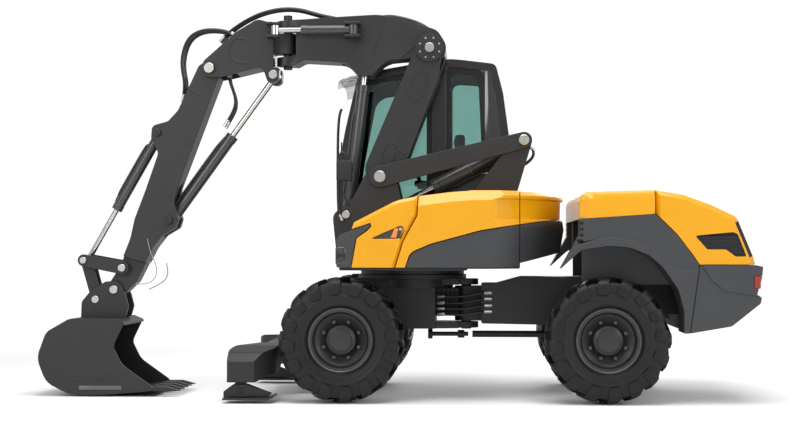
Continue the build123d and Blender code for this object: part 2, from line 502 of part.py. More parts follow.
# ---------------------------------------------------------------- hydraulic cylinders
GLAND = 45.0
PISTON = 30.0
boom_plane = Plane(origin=(0, BOOM_Y, 0), x_dir=(1, 0, 0), z_dir=(0, -1, 0))
offset_plane = Plane(origin=(0, 0, OFFSET_Z), x_dir=(1, 0, 0), z_dir=(0, 0, 1))
CYLINDERS = [
    # name, base pin, rod pin, barrel length, barrel radius, rod radius, pin radius, half width, way out, plane
    ("main", MAIN_BASE, MAIN_EYE, 908, 66, 36, 32, 55, 80, boom_plane),
    ("lift", LIFT_BASE, LIFT_EYE, 1180, 56, 27, 24, 45, 640, boom_plane),
    ("dipper", DIPPER_CYL_BASE, DIPPER_CYL_EYE, 955, 52, 27, 23, 56, 235, boom_plane),
    ("bucket", BUCKET_CYL_BASE, LINK_PIN, 800, 46, 25, 21, 32, 205, boom_plane),
    ("offset", OFFSET_BASE, OFFSET_EYE, 465, 40, 22, 16, 42, 170, offset_plane),
]


def along_x(radius, x0, x1):
    """Round bar along a cylinder's own line."""
    return Pos(x0, 0, 0) * Rot(0, 90, 0) * Cylinder(radius, x1 - x0, align=(Align.CENTER, Align.CENTER, Align.MIN))


for name, base, eye, barrel_length, barrel_radius, rod_radius, pin_radius, half_width, way_out, plane in CYLINDERS:
    line = Vector(eye[0] - base[0], eye[1] - base[1])
    seat = plane * Pos(base[0], base[1], 0) * Rot(0, 0, degrees(atan2(line.Y, line.X)))
    bore = barrel_radius - 12
    eye_radius = rod_radius * 1.75
    bore_start = barrel_radius * 1.25 + 8
    barrel = Cylinder(barrel_radius * 1.05, 2 * half_width) + along_x(barrel_radius, barrel_radius * 0.75, barrel_length)
    barrel += along_x(barrel_radius * 1.08, barrel_length - GLAND - 15, barrel_length)
    barrel -= Cylinder(pin_radius + FIT, 4 * half_width)
    barrel -= along_x(bore, bore_start, barrel_length - GLAND)
    barrel -= along_x(rod_radius + FIT, bore_start, barrel_length + 1)
    piston_front = barrel_length - GLAND - way_out
    rod = along_x(rod_radius, piston_front, line.length - eye_radius * 0.5)
    rod += along_x(bore - FIT, piston_front - PISTON, piston_front)
    rod += Pos(line.length, 0, 0) * Cylinder(eye_radius, 2 * half_width)
    rod -= Pos(line.length, 0, 0) * Cylinder(pin_radius + FIT, 4 * half_width)
    nodes[name + "_cylinder_barrel"] = seat * barrel
    nodes[name + "_cylinder_rod"] = seat * rod

# ---------------------------------------------------------------- strut
STRUT_IN = STRUT_HALF - EAR
strut_face = side_face([(-512, 3130, 60), (-440, 3215, 60), (-330, 3200, 60), (-284, 3080, 80),
                        (-319, 2830, 200), (-608, 2075, 300), (-730, 1900, 80), (-840, 1500, 70),
                        (-990, 1500, 70), (-960, 1800, 100), (-974, 2049, 200)])
strut = slab(strut_face, BOOM_Y - STRUT_HALF, BOOM_Y + STRUT_HALF)
fork_cut = side_face([(-760, 2890, 0), (-760, 3400, 0), (-100, 3400, 0), (-100, 2780, 0), (-330, 2780, 0)])
strut -= slab(fork_cut, BOOM_Y - STRUT_IN, BOOM_Y + STRUT_IN)
foot_cut = side_face([(-1200, 1780, 0), (-500, 1780, 0), (-500, 1400, 0), (-1200, 1400, 0)])
strut -= slab(foot_cut, BOOM_Y - STRUT_IN, BOOM_Y + STRUT_IN)
strut -= pin_y(KNEE, 38 + FIT, -600, 300)
strut -= pin_y(FOOT, 38 + FIT, -600, 300)
nodes["strut"] = strut

KNEE_CAP = 125.0
knee_pin = pin_y(KNEE, 38, BOOM_Y - STRUT_HALF - 34, BOOM_Y + STRUT_HALF + 22)
for side in (-1, 1):
    knee_pin += pin_y(KNEE, KNEE_CAP, BOOM_Y + side * (STRUT_HALF + 2), BOOM_Y + side * (STRUT_HALF + 22))
nodes["knee_pin"] = knee_pin
nodes["lift_pin"] = pin_y(LIFT_BASE, 24, BOOM_Y - STRUT_HALF - PLAY - CHEEK - 12,
                          BOOM_Y + STRUT_HALF + PLAY + CHEEK + 4)

# ---------------------------------------------------------------- boom
BOOM_HALF = STRUT_IN - PLAY
boom_rows = [(-1800, 3285, 0), (-1800, 3365, 0), (-1560, 3365, 0), (-1243, 3385, 400), (-849, 3405, 500),
             (-617, 3354, 300), (-330, 3262, 120), (-236, 3110, 130), (-300, 2965, 100), (-560, 3010, 200),
             (-787, 2993, 200), (-920, 2860, 60), (-1045, 2860, 60), (-1140, 2975, 150), (-1530, 3000, 100),
             (-1600, 2960, 0), (-1800, 2960, 0), (-1800, 3035, 0), (-1600, 3045, 12), (-1600, 3275, 12)]
boom = side_plate(boom_rows, BOOM_Y - BOOM_HALF, BOOM_Y + BOOM_HALF)
lobe_slot = side_face([(-1200, 3010, 0), (-1150, 3220, 60), (-760, 3240, 60), (-790, 2960, 0), (-860, 2750, 0),
                       (-1150, 2750, 0)])
boom -= slab(lobe_slot, BOOM_Y - 62, BOOM_Y + 62)
boom -= pin_y(KNEE, 38 + FIT, -600, 300)
boom_plan = plan_plate([(OFFSET_PIN[0], BOOM_Y - 100, 0), (-1590, BOOM_Y - BOOM_HALF, 0),
                        (-100, BOOM_Y - BOOM_HALF, 0), (-100, BOOM_Y + BOOM_HALF, 0),
                        (-1590, BOOM_Y + BOOM_HALF, 0), (OFFSET_PIN[0], BOOM_Y + 100, 0)], 2000, 4000)
boom &= boom_plan + pin_z(OFFSET_PIN, 100, 2000, 4000)
boom -= pin_z(OFFSET_PIN, 40 + FIT, 2900, 3500)
boom += block(-1150, -1010, OFFSET_BASE[1] - 50, BOOM_Y - BOOM_HALF + 5, OFFSET_Z - 68, OFFSET_Z - 46)
boom += block(-1150, -1010, OFFSET_BASE[1] - 50, BOOM_Y - BOOM_HALF + 5, OFFSET_Z + 46, OFFSET_Z + 68)
boom += pin_z(OFFSET_BASE, 16, OFFSET_Z - 74, OFFSET_Z + 74)
nodes["boom"] = boom

# ---------------------------------------------------------------- offset head
HEAD_HALF = 170.0
HEAD_PLATE = 30.0
head_rows = [(-1800, 3330, 40), (-1943, 3370, 80), (-2142, 3253, 100), (-2241, 3164, 80),
             (-2440, 2990, 70), (-2440, 2860, 70), (-2340, 2845, 60), (-2208, 2868, 80), (-1898, 2940, 60),
             (-1850, 2800, 40), (-1755, 2800, 50), (-1745, 2935, 20), (-1800, 2935, 0)]
head = side_plate(head_rows, BOOM_Y - HEAD_HALF, BOOM_Y + HEAD_HALF)
fork_gap = side_face([(-2600, 2700, 0), (-2600, 3180, 0), (-2250, 3180, 60), (-2130, 2990, 60), (-2160, 2700, 0)])
head -= slab(fork_gap, BOOM_Y - HEAD_HALF + HEAD_PLATE, BOOM_Y + HEAD_HALF - HEAD_PLATE)
head -= block(-1900, -1700, BOOM_Y - 60, BOOM_Y + 60, 2700, 2937)
head += block(-1810, OFFSET_PIN[0], BOOM_Y - 70, BOOM_Y + 70, 3066, 3254) + pin_z(OFFSET_PIN, 72, 3066, 3254)
head += pin_z(OFFSET_PIN, 40, 2930, 3420)
for z0 in (OFFSET_Z - 68, OFFSET_Z + 48):
    head += block(-1850, -1790, -480, BOOM_Y, z0, z0 + 20)
    head += block(-1850, -1735, -460, -365, z0, z0 + 20)
head += pin_y(DIPPER_PIVOT, 36, BOOM_Y - HEAD_HALF - 22, BOOM_Y + HEAD_HALF + 22)
nodes["offset_head"] = head

# ---------------------------------------------------------------- dipper
DIPPER_HALF = HEAD_HALF - HEAD_PLATE - PLAY
TIP_HALF = 92.0
ROCKER_IN = DIPPER_HALF + PLAY
ROCKER_PLATE = 25.0
dipper_rows = [(-2376, 3020, 60), (-2480, 2960, 60), (-2671, 2555, 100), (-2760, 2460, 60), (-2905, 2420, 50),
               (-2915, 2310, 50), (-2849, 2172, 60), (-2963, 1844, 300), (-3065, 1579, 300), (-3104, 1403, 200),
               (-3205, 1150, 60), (-3330, 960, 60), (-3260, 860, 60), (-3170, 900, 60), (-3053, 1012, 60),
               (-2900, 1315, 200), (-2811, 1428, 80), (-2690, 1500, 40), (-2665, 1580, 50), (-2703, 1730, 60),
               (-2671, 1869, 200), (-2290, 2870, 70)]
dipper = side_plate(dipper_rows, BOOM_Y - DIPPER_HALF, BOOM_Y + DIPPER_HALF)
tip_trim = side_face([(-3500, 1330, 0), (-2950, 1180, 0), (-2900, 700, 0), (-3500, 700, 0)])
for y0, y1 in ((BOOM_Y - 400, BOOM_Y - TIP_HALF), (BOOM_Y + TIP_HALF, BOOM_Y + 400)):
    dipper -= slab(tip_trim, y0, y1)
barrel_slot = side_face([(-2600, 2000, 0), (-2800, 1700, 0), (-2860, 1520, 0), (-2800, 1350, 0),
                         (-2550, 1350, 0)])
dipper -= slab(barrel_slot, BOOM_Y - 62, BOOM_Y + 62)
bucket_slot = side_face([(-3000, 2520, 0), (-2800, 2520, 0), (-2760, 2400, 0), (-2840, 2240, 0),
                         (-2900, 2050, 0), (-3000, 2050, 0)])
dipper -= slab(bucket_slot, BOOM_Y - 56, BOOM_Y + 56)
dipper -= pin_y(DIPPER_PIVOT, 36 + FIT, -600, 300)
dipper -= pin_y(BUCKET_PIVOT, 30 + FIT, -600, 300)
dipper += pin_y(ROCKER_PIVOT, 46, BOOM_Y - ROCKER_IN + 1, BOOM_Y + ROCKER_IN - 1)
dipper -= pin_y(ROCKER_PIVOT, 26 + FIT, -600, 300)
dipper += pin_y(DIPPER_CYL_BASE, 23, BOOM_Y - DIPPER_HALF - 15, BOOM_Y + DIPPER_HALF + 15)
dipper += pin_y(BUCKET_CYL_BASE, 21, BOOM_Y - DIPPER_HALF - 15, BOOM_Y + DIPPER_HALF + 15)
nodes["dipper"] = dipper

# ---------------------------------------------------------------- bucket linkage
ROCKER_OUT = ROCKER_IN + ROCKER_PLATE
rocker = pin_y(ROCKER_PIVOT, 26, BOOM_Y - ROCKER_OUT - 12, BOOM_Y + ROCKER_OUT + 12)
for y0 in (BOOM_Y - ROCKER_OUT, BOOM_Y + ROCKER_IN):
    rocker += tapered_link(ROCKER_PIVOT, LINK_PIN, 58, 54, y0, y0 + ROCKER_PLATE)
rocker += pin_y(LINK_PIN, 24, BOOM_Y - ROCKER_OUT - 12, BOOM_Y - 38)
rocker += pin_y(LINK_PIN, 24, BOOM_Y + 38, BOOM_Y + ROCKER_OUT + 12)
nodes["rocker"] = rocker
link_plates = [tapered_link(LINK_PIN, HITCH_PIN, 50, 48, y0, y0 + 30) for y0 in (BOOM_Y - 80, BOOM_Y + 50)]
link_bridge = block(-3490, -3455, BOOM_Y - 80, BOOM_Y + 80, 1000, 1040)
nodes["bucket_link"] = link_plates[0] + link_plates[1] + link_bridge
nodes["bucket_link"] -= pin_y(LINK_PIN, 24 + FIT, -400, 100)

# ---------------------------------------------------------------- hitch and bucket
HITCH_IN = TIP_HALF + PLAY
hitch_rows = [(-3555, 690, 10), (-3550, 832, 60), (-3470, 925, 60), (-3330, 1015, 60), (-3200, 1015, 70),
              (-3150, 900, 60), (-3120, 788, 60), (-3150, 690, 20)]
hitch = pin_y(BUCKET_PIVOT, 30, BOOM_Y - HITCH_IN - 45, BOOM_Y + HITCH_IN + 45)
for y0 in (BOOM_Y - HITCH_IN - 30, BOOM_Y + HITCH_IN):
    hitch += side_plate(hitch_rows, y0, y0 + 30)
hitch += block(-3555, -3185, BOOM_Y - HITCH_IN - 30, BOOM_Y + HITCH_IN + 30, 690, 715)
nodes["bucket_hitch"] = hitch

BUCKET_BASE = 6.0
shell_rows = [(-3100, 655, 0), (-3180, 690, 60), (-3590, 690, 120), (-3800, 570, 120), (BUCKET_FRONT_X, 340, 200),
              (-3800, 120, 200), (-3600, 22, 150), (-3383, BUCKET_BASE, 200), (-2960, 40, 0)]
shell_inner = [(-3040, 606, 0), (-3186, 670, 40), (-3584, 670, 110), (-3782, 558, 105),
               (BUCKET_FRONT_X + 20, 340, 180), (-3786, 134, 180), (-3596, 41, 130), (-3383, BUCKET_BASE + 18, 180),
               (-2900, 62, 0)]
side_rows = [(-3100, 655, 0), (-3180, 690, 60), (-3590, 690, 120), (-3800, 570, 120), (BUCKET_FRONT_X, 340, 200),
             (-3800, 120, 200), (-3600, 22, 150), (-3383, BUCKET_BASE, 200), (-2830, 56, 0), (-2860, 100, 40),
             (-3119, 284, 200), (-3200, 446, 80)]
HALF_BUCKET = BUCKET_WIDTH / 2
bucket = side_plate(shell_rows, BOOM_Y - HALF_BUCKET, BOOM_Y + HALF_BUCKET)
bucket -= side_plate(shell_inner, BOOM_Y - HALF_BUCKET - 5, BOOM_Y + HALF_BUCKET + 5)
for y0 in (BOOM_Y - HALF_BUCKET, BOOM_Y + HALF_BUCKET - 16):
    bucket += side_plate(side_rows, y0, y0 + 16)
bucket += side_plate([(-3000, 34, 0), (-3000, 58, 0), (-2810, 74, 0), (-2800, 56, 0)], BOOM_Y - HALF_BUCKET,
                     BOOM_Y + HALF_BUCKET)
TEETH = 5
for k in range(TEETH):
    tooth_y = BOOM_Y - HALF_BUCKET + 45 + k * (BUCKET_WIDTH - 90) / (TEETH - 1)
    bucket += side_plate([(-2870, 50, 0), (-2870, 84, 0), (-2720, 86, 0), (-2595, 52, 0), (-2720, 42, 0)],
                         tooth_y - 35, tooth_y + 35)
nodes["bucket"] = bucket

# ---------------------------------------------------------------- stabiliser legs
ARM_NEAR = EAR_NEAR + 32
ARM_FAR = EAR_FAR - 8
PAD_PIN = (LEG_FRONT_X - 146.0, 105.0)
PAD_Y = (880.0, 1130.0)
LEG_END_Y = 1100.0
# the arm: its outline from the front, rows (y, z, radius), cut to its curved band seen from above, rows (x, y, radius)
ARM_FRONT = [(PIVOT_Y, PIVOT_Z - 62, 0), (PIVOT_Y, PIVOT_Z + 62, 0), (640, 490, 100), (830, 476, 150),
             (1010, 428, 100), (LEG_END_Y, 352, 20), (LEG_END_Y, 168, 15), (950, 226, 150), (700, 272, 150)]
ARM_PLAN = [(ARM_NEAR, PIVOT_Y - 70, 0), (ARM_NEAR, 640, 150), (LEG_FRONT_X - 255, 880, 220),
            (LEG_FRONT_X - 255, LEG_END_Y + 5, 30), (LEG_FRONT_X - 30, LEG_END_Y + 5, 30), (ARM_FAR, 880, 200),
            (ARM_FAR, PIVOT_Y - 70, 0)]
PAD_SIDE = [(-143, -60, 0), (-143, -10, 20), (-60, 52, 30), (50, 52, 30), (262, -28, 0), (240, -50, 0)]
PAD_BOTTOM = 28.0


def stabiliser(side):
    """Box arm curved forwards and down to its hinged ground pad, on a pin along the machine."""
    points = [(y, z) for y, z, _ in ARM_FRONT]
    radii = [radius for _, _, radius in ARM_FRONT]
    outline = make_face(Plane.YZ * FilletPolyline(*points, radius=radii, close=True))
    arm = Pos(LEG_FRONT_X - 400, 0, 0) * extrude(outline, amount=800, dir=(1, 0, 0))
    arm &= plan_plate(ARM_PLAN, 0, 800)
    arm += pin_x(LEG_PIVOT, 62, ARM_NEAR, ARM_FAR)
    arm += block(PAD_PIN[0] - 45, PAD_PIN[0] + 45, 975, 1035, PAD_PIN[1], 240) + pin_y(PAD_PIN, 45, 975, 1035)
    arm -= pin_x(LEG_PIVOT, 20 + FIT, EAR_NEAR - 50, EAR_FAR + 80)
    pad_rows = [(PAD_PIN[0] + x, PAD_PIN[1] + z, radius) for x, z, radius in PAD_SIDE]
    pad = block(PAD_PIN[0] - 143, PAD_PIN[0] + 240, *PAD_Y, PAD_BOTTOM, PAD_BOTTOM + 18)
    pad += side_plate(pad_rows, 950, 972) + side_plate(pad_rows, 1038, 1060)
    pad += side_plate([(PAD_PIN[0] + 236, PAD_BOTTOM, 0), (PAD_PIN[0] + 236, PAD_BOTTOM + 18, 0),
                       (PAD_PIN[0] + 292, PAD_BOTTOM + 40, 0), (PAD_PIN[0] + 296, PAD_BOTTOM + 26, 0)], *PAD_Y)
    pad += pin_y(PAD_PIN, 20, 942, 1072)
    leg = arm + pad
    return leg if side > 0 else mirror(leg, about=Plane.XZ)


nodes["stabiliser_left"] = stabiliser(-1)
nodes["stabiliser_right"] = stabiliser(1)

# ---------------------------------------------------------------- write the pieces
front_x = nodes["bucket"].bounding_box().min.X
rear_x = nodes["rear_counterweight"].bounding_box().max.X
to_middle = Pos(-(front_x + rear_x) / 2, 0, 0)
for name, shape in nodes.items():
    export_step(to_middle * shape, "parts/" + name + ".step")
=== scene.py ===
import bpy
import json
from math import copysign, cos, pi, radians, sin
from mathutils import Matrix, Vector


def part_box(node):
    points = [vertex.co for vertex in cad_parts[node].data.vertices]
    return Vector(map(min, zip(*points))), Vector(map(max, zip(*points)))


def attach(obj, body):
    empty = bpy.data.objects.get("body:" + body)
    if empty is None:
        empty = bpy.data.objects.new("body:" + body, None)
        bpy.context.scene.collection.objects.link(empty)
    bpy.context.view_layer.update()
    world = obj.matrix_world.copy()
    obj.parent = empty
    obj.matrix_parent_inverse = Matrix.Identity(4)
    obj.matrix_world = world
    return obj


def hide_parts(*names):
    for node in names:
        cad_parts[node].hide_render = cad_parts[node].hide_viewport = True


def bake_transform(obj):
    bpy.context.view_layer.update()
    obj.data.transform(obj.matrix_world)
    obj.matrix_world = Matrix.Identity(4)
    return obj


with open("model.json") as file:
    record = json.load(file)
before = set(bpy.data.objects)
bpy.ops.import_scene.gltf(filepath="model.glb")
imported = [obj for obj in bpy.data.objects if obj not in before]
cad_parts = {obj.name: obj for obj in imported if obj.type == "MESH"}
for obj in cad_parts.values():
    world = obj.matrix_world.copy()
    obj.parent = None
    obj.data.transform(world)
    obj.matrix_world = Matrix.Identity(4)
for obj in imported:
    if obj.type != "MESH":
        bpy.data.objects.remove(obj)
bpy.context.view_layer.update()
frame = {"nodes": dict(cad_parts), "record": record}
nodes = frame["nodes"]


# ------------------------------------------------------------------ camera
# A long lens stands level with the tyres' tops, well back from the machine's left side,
# turned a few degrees towards the bucket.
MIDDLE_X = (sum(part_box("rim_front_left"), Vector()).x + sum(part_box("rim_rear_left"), Vector()).x) / 4
bpy.ops.object.select_all(action="DESELECT")
bpy.ops.object.camera_add(location=(MIDDLE_X + 0.06, -14.12, 1.30), rotation=(radians(90), 0, radians(3)))
camera = bpy.context.object
camera.name = "camera"
camera.data.sensor_width = 36.0
camera.data.lens = 69.66
camera.data.shift_y = 0.0485
camera.data.clip_end = 300.0
bpy.context.scene.camera = camera


# ------------------------------------------------------------------ studio floor and light
# A white paper floor runs out of sight under a white sky. Three wide soft lamps stand above,
# left and right, and a fourth behind gives the tyres and the roof a thin bright edge.
bpy.context.scene.view_settings.view_transform = "Standard"
bpy.ops.mesh.primitive_grid_add(x_subdivisions=8, y_subdivisions=8, size=400.0, location=(0, 0, -0.002))
floor = bpy.context.object
floor.name = "studio_floor"
paper = bpy.data.materials.new("studio_paper")
paper.use_nodes = True
tree = paper.node_tree
tree.nodes.clear()
seen = tree.nodes.new("ShaderNodeLightPath")
shade = tree.nodes.new("ShaderNodeBsdfDiffuse")
shade.inputs["Color"].default_value = (0.86, 0.86, 0.86, 1)
bright = tree.nodes.new("ShaderNodeBsdfDiffuse")
bright.inputs["Color"].default_value = (1.02, 1.02, 1.02, 1)
either = tree.nodes.new("ShaderNodeMath")
either.operation = "MAXIMUM"
choose = tree.nodes.new("ShaderNodeMixShader")
ground = tree.nodes.new("ShaderNodeOutputMaterial")
tree.links.new(seen.outputs["Is Camera Ray"], either.inputs[0])
tree.links.new(seen.outputs["Is Transmission Ray"], either.inputs[1])
tree.links.new(either.outputs[0], choose.inputs[0])
tree.links.new(shade.outputs[0], choose.inputs[1])
tree.links.new(bright.outputs[0], choose.inputs[2])
where = tree.nodes.new("ShaderNodeTexCoord")
reach = tree.nodes.new("ShaderNodeVectorMath")
reach.operation = "LENGTH"
fade = tree.nodes.new("ShaderNodeMapRange")
fade.interpolation_type = "SMOOTHSTEP"
fade.inputs["From Min"].default_value = 4.2
fade.inputs["From Max"].default_value = 9.0
white = tree.nodes.new("ShaderNodeEmission")
white.inputs["Strength"].default_value = 1.05
away = tree.nodes.new("ShaderNodeMath")
away.operation = "MULTIPLY"
far_floor = tree.nodes.new("ShaderNodeMixShader")
tree.links.new(where.outputs["Object"], reach.inputs[0])
tree.links.new(reach.outputs["Value"], fade.inputs["Value"])
tree.links.new(fade.outputs["Result"], away.inputs[0])
tree.links.new(either.outputs[0], away.inputs[1])
tree.links.new(away.outputs[0], far_floor.inputs[0])
tree.links.new(choose.outputs[0], far_floor.inputs[1])
tree.links.new(white.outputs[0], far_floor.inputs[2])
tree.links.new(far_floor.outputs[0], ground.inputs["Surface"])
floor.data.materials.append(paper)

sky = bpy.data.worlds.new("studio_sky")
bpy.context.scene.world = sky
sky.use_nodes = True
tree = sky.node_tree
tree.nodes.clear()
path = tree.nodes.new("ShaderNodeLightPath")
lit = tree.nodes.new("ShaderNodeBackground")
lit.inputs["Color"].default_value = (1, 1, 1, 1)
lit.inputs["Strength"].default_value = 0.60
plain = tree.nodes.new("ShaderNodeBackground")
plain.inputs["Color"].default_value = (1, 1, 1, 1)
plain.inputs["Strength"].default_value = 1.05
either = tree.nodes.new("ShaderNodeMath")
either.operation = "MAXIMUM"
choose = tree.nodes.new("ShaderNodeMixShader")
out = tree.nodes.new("ShaderNodeOutputWorld")
tree.links.new(path.outputs["Is Camera Ray"], either.inputs[0])
tree.links.new(path.outputs["Is Transmission Ray"], either.inputs[1])
tree.links.new(either.outputs[0], choose.inputs[0])
tree.links.new(lit.outputs[0], choose.inputs[1])
tree.links.new(plain.outputs[0], choose.inputs[2])
tree.links.new(choose.outputs[0], out.inputs["Surface"])

SOFT_LAMPS = (  # name, place, turn in degrees, size, watts
    ("lamp_above", (0.5, -3.0, 8.5), (-18, 0, 0), 7.0, 640),
    ("lamp_left", (-6.0, -9.0, 5.0), (60, 0, -34), 4.0, 240),
    ("lamp_right", (8.0, -7.0, 4.0), (66, 0, 48), 4.0, 200),
    ("lamp_behind", (2.0, 7.5, 5.0), (-62, 0, 8), 3.5, 260),
)
for name, spot, turn, size, watts in SOFT_LAMPS:
    bpy.ops.object.light_add(type="AREA", location=spot, rotation=[radians(a) for a in turn])
    lamp = bpy.context.object
    lamp.name = name
    lamp.data.size = size
    lamp.data.energy = watts
    lamp.visible_camera = False
    lamp.visible_transmission = False


# ------------------------------------------------------------------ frames, axles and deck
# Welded and bent steel plate, sprayed in satin dark grey: the two half frames, the slewing
# deck and its ring, the axles and the stabiliser arms. Sheared edges are ground round.
def paint(name, colour, roughness, tone=0.08, peel=0.25, peel_scale=260.0, coat=0.0, metallic=0.0, shine=0.5):
    """Sprayed paint: a colour with soft changes of tone, uneven gloss and a fine orange peel."""
    made = bpy.data.materials.new(name)
    made.use_nodes = True
    tree = made.node_tree
    skin = tree.nodes["Principled BSDF"]
    skin.inputs["Metallic"].default_value = metallic
    skin.inputs["Specular IOR Level"].default_value = shine
    skin.inputs["Coat Weight"].default_value = coat
    skin.inputs["Coat Roughness"].default_value = 0.12
    where = tree.nodes.new("ShaderNodeTexCoord")
    cloud = tree.nodes.new("ShaderNodeTexNoise")
    cloud.inputs["Scale"].default_value = 3.5
    cloud.inputs["Detail"].default_value = 6.0
    tones = tree.nodes.new("ShaderNodeValToRGB")
    tones.color_ramp.elements[0].position = 0.3
    tones.color_ramp.elements[0].color = (*[c * (1 - tone) for c in colour], 1)
    tones.color_ramp.elements[1].position = 0.7
    tones.color_ramp.elements[1].color = (*[min(1, c * (1 + tone)) for c in colour], 1)
    fine = tree.nodes.new("ShaderNodeTexNoise")
    fine.inputs["Scale"].default_value = peel_scale
    fine.inputs["Detail"].default_value = 3.0
    gloss = tree.nodes.new("ShaderNodeMapRange")
    gloss.inputs["To Min"].default_value = max(0.02, roughness - 0.05)
    gloss.inputs["To Max"].default_value = roughness + 0.07
    bump = tree.nodes.new("ShaderNodeBump")
    bump.inputs["Strength"].default_value = peel
    bump.inputs["Distance"].default_value = 0.0006
    tree.links.new(where.outputs["Object"], cloud.inputs["Vector"])
    tree.links.new(where.outputs["Object"], fine.inputs["Vector"])
    tree.links.new(cloud.outputs["Fac"], tones.inputs["Fac"])
    tree.links.new(tones.outputs["Color"], skin.inputs["Base Color"])
    tree.links.new(cloud.outputs["Fac"], gloss.inputs["Value"])
    tree.links.new(gloss.outputs["Result"], skin.inputs["Roughness"])
    tree.links.new(fine.outputs["Fac"], bump.inputs["Height"])
    tree.links.new(bump.outputs["Normal"], skin.inputs["Normal"])
    return made


def pick(piece):
    """Only this piece is selected and active."""
    bpy.ops.object.select_all(action="DESELECT")
    piece.select_set(True)
    bpy.context.view_layer.objects.active = piece


body_of = {node: body for body, held in frame["record"]["behaviour"]["bodies"].items() for node in held}


def eased(node, width, *materials, windows=False):
    """A copy of a CAD piece whose sheared edges are rounded over; it stands for that piece.
    Flat faces are merged first, except on a piece whose faces hold window openings."""
    piece = bpy.data.objects.new("eased_" + node, nodes[node].data.copy())
    bpy.context.collection.objects.link(piece)
    pick(piece)
    bpy.ops.mesh.customdata_custom_splitnormals_clear()
    bpy.ops.object.mode_set(mode="EDIT")
    bpy.ops.mesh.select_all(action="SELECT")
    bpy.ops.mesh.remove_doubles(threshold=0.00002)
    if not windows:
        bpy.ops.mesh.dissolve_limited(angle_limit=radians(0.4))
    bpy.ops.object.mode_set(mode="OBJECT")
    round_over = piece.modifiers.new("round_over", "BEVEL")
    round_over.width = width
    round_over.segments = 3
    round_over.limit_method = "ANGLE"
    round_over.angle_limit = radians(34)
    round_over.use_clamp_overlap = False
    bpy.ops.object.modifier_apply(modifier=round_over.name)
    bpy.ops.object.shade_smooth_by_angle(angle=radians(38))
    even = piece.modifiers.new("even", "WEIGHTED_NORMAL")
    even.keep_sharp = True
    bpy.ops.object.modifier_apply(modifier=even.name)
    piece.data.materials.clear()
    for material in materials:
        piece.data.materials.append(material)
    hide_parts(node)
    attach(piece, body_of[node])
    return piece


def coat_nodes(material, *names):
    """The CAD pieces of these names take a material."""
    for name in names:
        nodes[name].data.materials.clear()
        nodes[name].data.materials.append(material)


frame_paint = paint("frame_paint", (0.018, 0.0185, 0.020), 0.42, shine=0.4)
for name in ("front_frame", "rear_frame", "upper_deck", "turntable_lower", "front_axle", "rear_axle"):
    eased(name, 0.004, frame_paint)
for name in ("stabiliser_left", "stabiliser_right"):
    eased(name, 0.005, frame_paint)
coat_nodes(frame_paint, "driveshaft")
engine_paint = paint("engine_paint", (0.05, 0.05, 0.05), 0.6)
coat_nodes(engine_paint, "engine_block")


# ------------------------------------------------------------------ tyres
# Black rubber cast in one piece: a round casing with raised rings on its sidewall, and thick
# slanted lugs that wrap over the shoulders.
def settle(piece, name, material, body):
    """A finished piece is set into the machine's frame, named, painted and put on its body."""
    pick(piece)
    bpy.ops.object.transform_apply(location=True, rotation=True, scale=True)
    piece.name = piece.data.name = name
    piece.data.materials.clear()
    piece.data.materials.append(material)
    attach(piece, body)
    return piece


def choose_faces(piece, test):
    """In edit mode, only the faces whose middle and normal pass the test are selected."""
    bpy.ops.mesh.select_mode(type="FACE")
    bpy.ops.mesh.select_all(action="DESELECT")
    bpy.ops.object.mode_set(mode="OBJECT")
    for face in piece.data.polygons:
        face.select = bool(test(face.center, face.normal))
    bpy.ops.object.mode_set(mode="EDIT")


tyre_rubber = paint("tyre_rubber", (0.006, 0.006, 0.0065), 0.46, tone=0.3, peel=0.4, peel_scale=90.0,
                    shine=0.35)
TREAD_R = 0.498
SIDEWALL = (  # radius and distance from the middle, from the shoulder in to the bead
    (0.486, 0.172), (0.465, 0.183), (0.435, 0.191), (0.400, 0.197), (0.382, 0.199), (0.378, 0.205),
    (0.366, 0.205), (0.362, 0.199), (0.330, 0.196), (0.310, 0.187), (0.306, 0.191), (0.298, 0.190),
    (0.294, 0.178), (0.280, 0.160), (0.2635, 0.147),
)
bpy.ops.object.select_all(action="DESELECT")
bpy.ops.mesh.primitive_cylinder_add(vertices=96, radius=TREAD_R, depth=0.33, rotation=(radians(90), 0, 0))
casing = bpy.context.object
bpy.ops.object.transform_apply(rotation=True)
bpy.ops.object.mode_set(mode="EDIT")
for side in (-1, 1):
    choose_faces(casing, lambda middle, normal: normal.y * side > 0.9)
    radius, out = TREAD_R, 0.165
    for next_radius, next_out in SIDEWALL:
        bpy.ops.mesh.inset(thickness=(radius - next_radius) * cos(pi / 96), depth=0)
        bpy.ops.transform.translate(value=(0, side * (next_out - out), 0))
        radius, out = next_radius, next_out
choose_faces(casing, lambda middle, normal: Vector((middle.x, middle.z)).length < 0.01)
bpy.ops.mesh.bridge_edge_loops()
bpy.ops.mesh.select_all(action="SELECT")
bpy.ops.mesh.normals_make_consistent(inside=False)
bpy.ops.object.mode_set(mode="OBJECT")
soften = casing.modifiers.new("soften", "SUBSURF")
soften.levels = soften.render_levels = 1
bpy.ops.object.modifier_apply(modifier=soften.name)

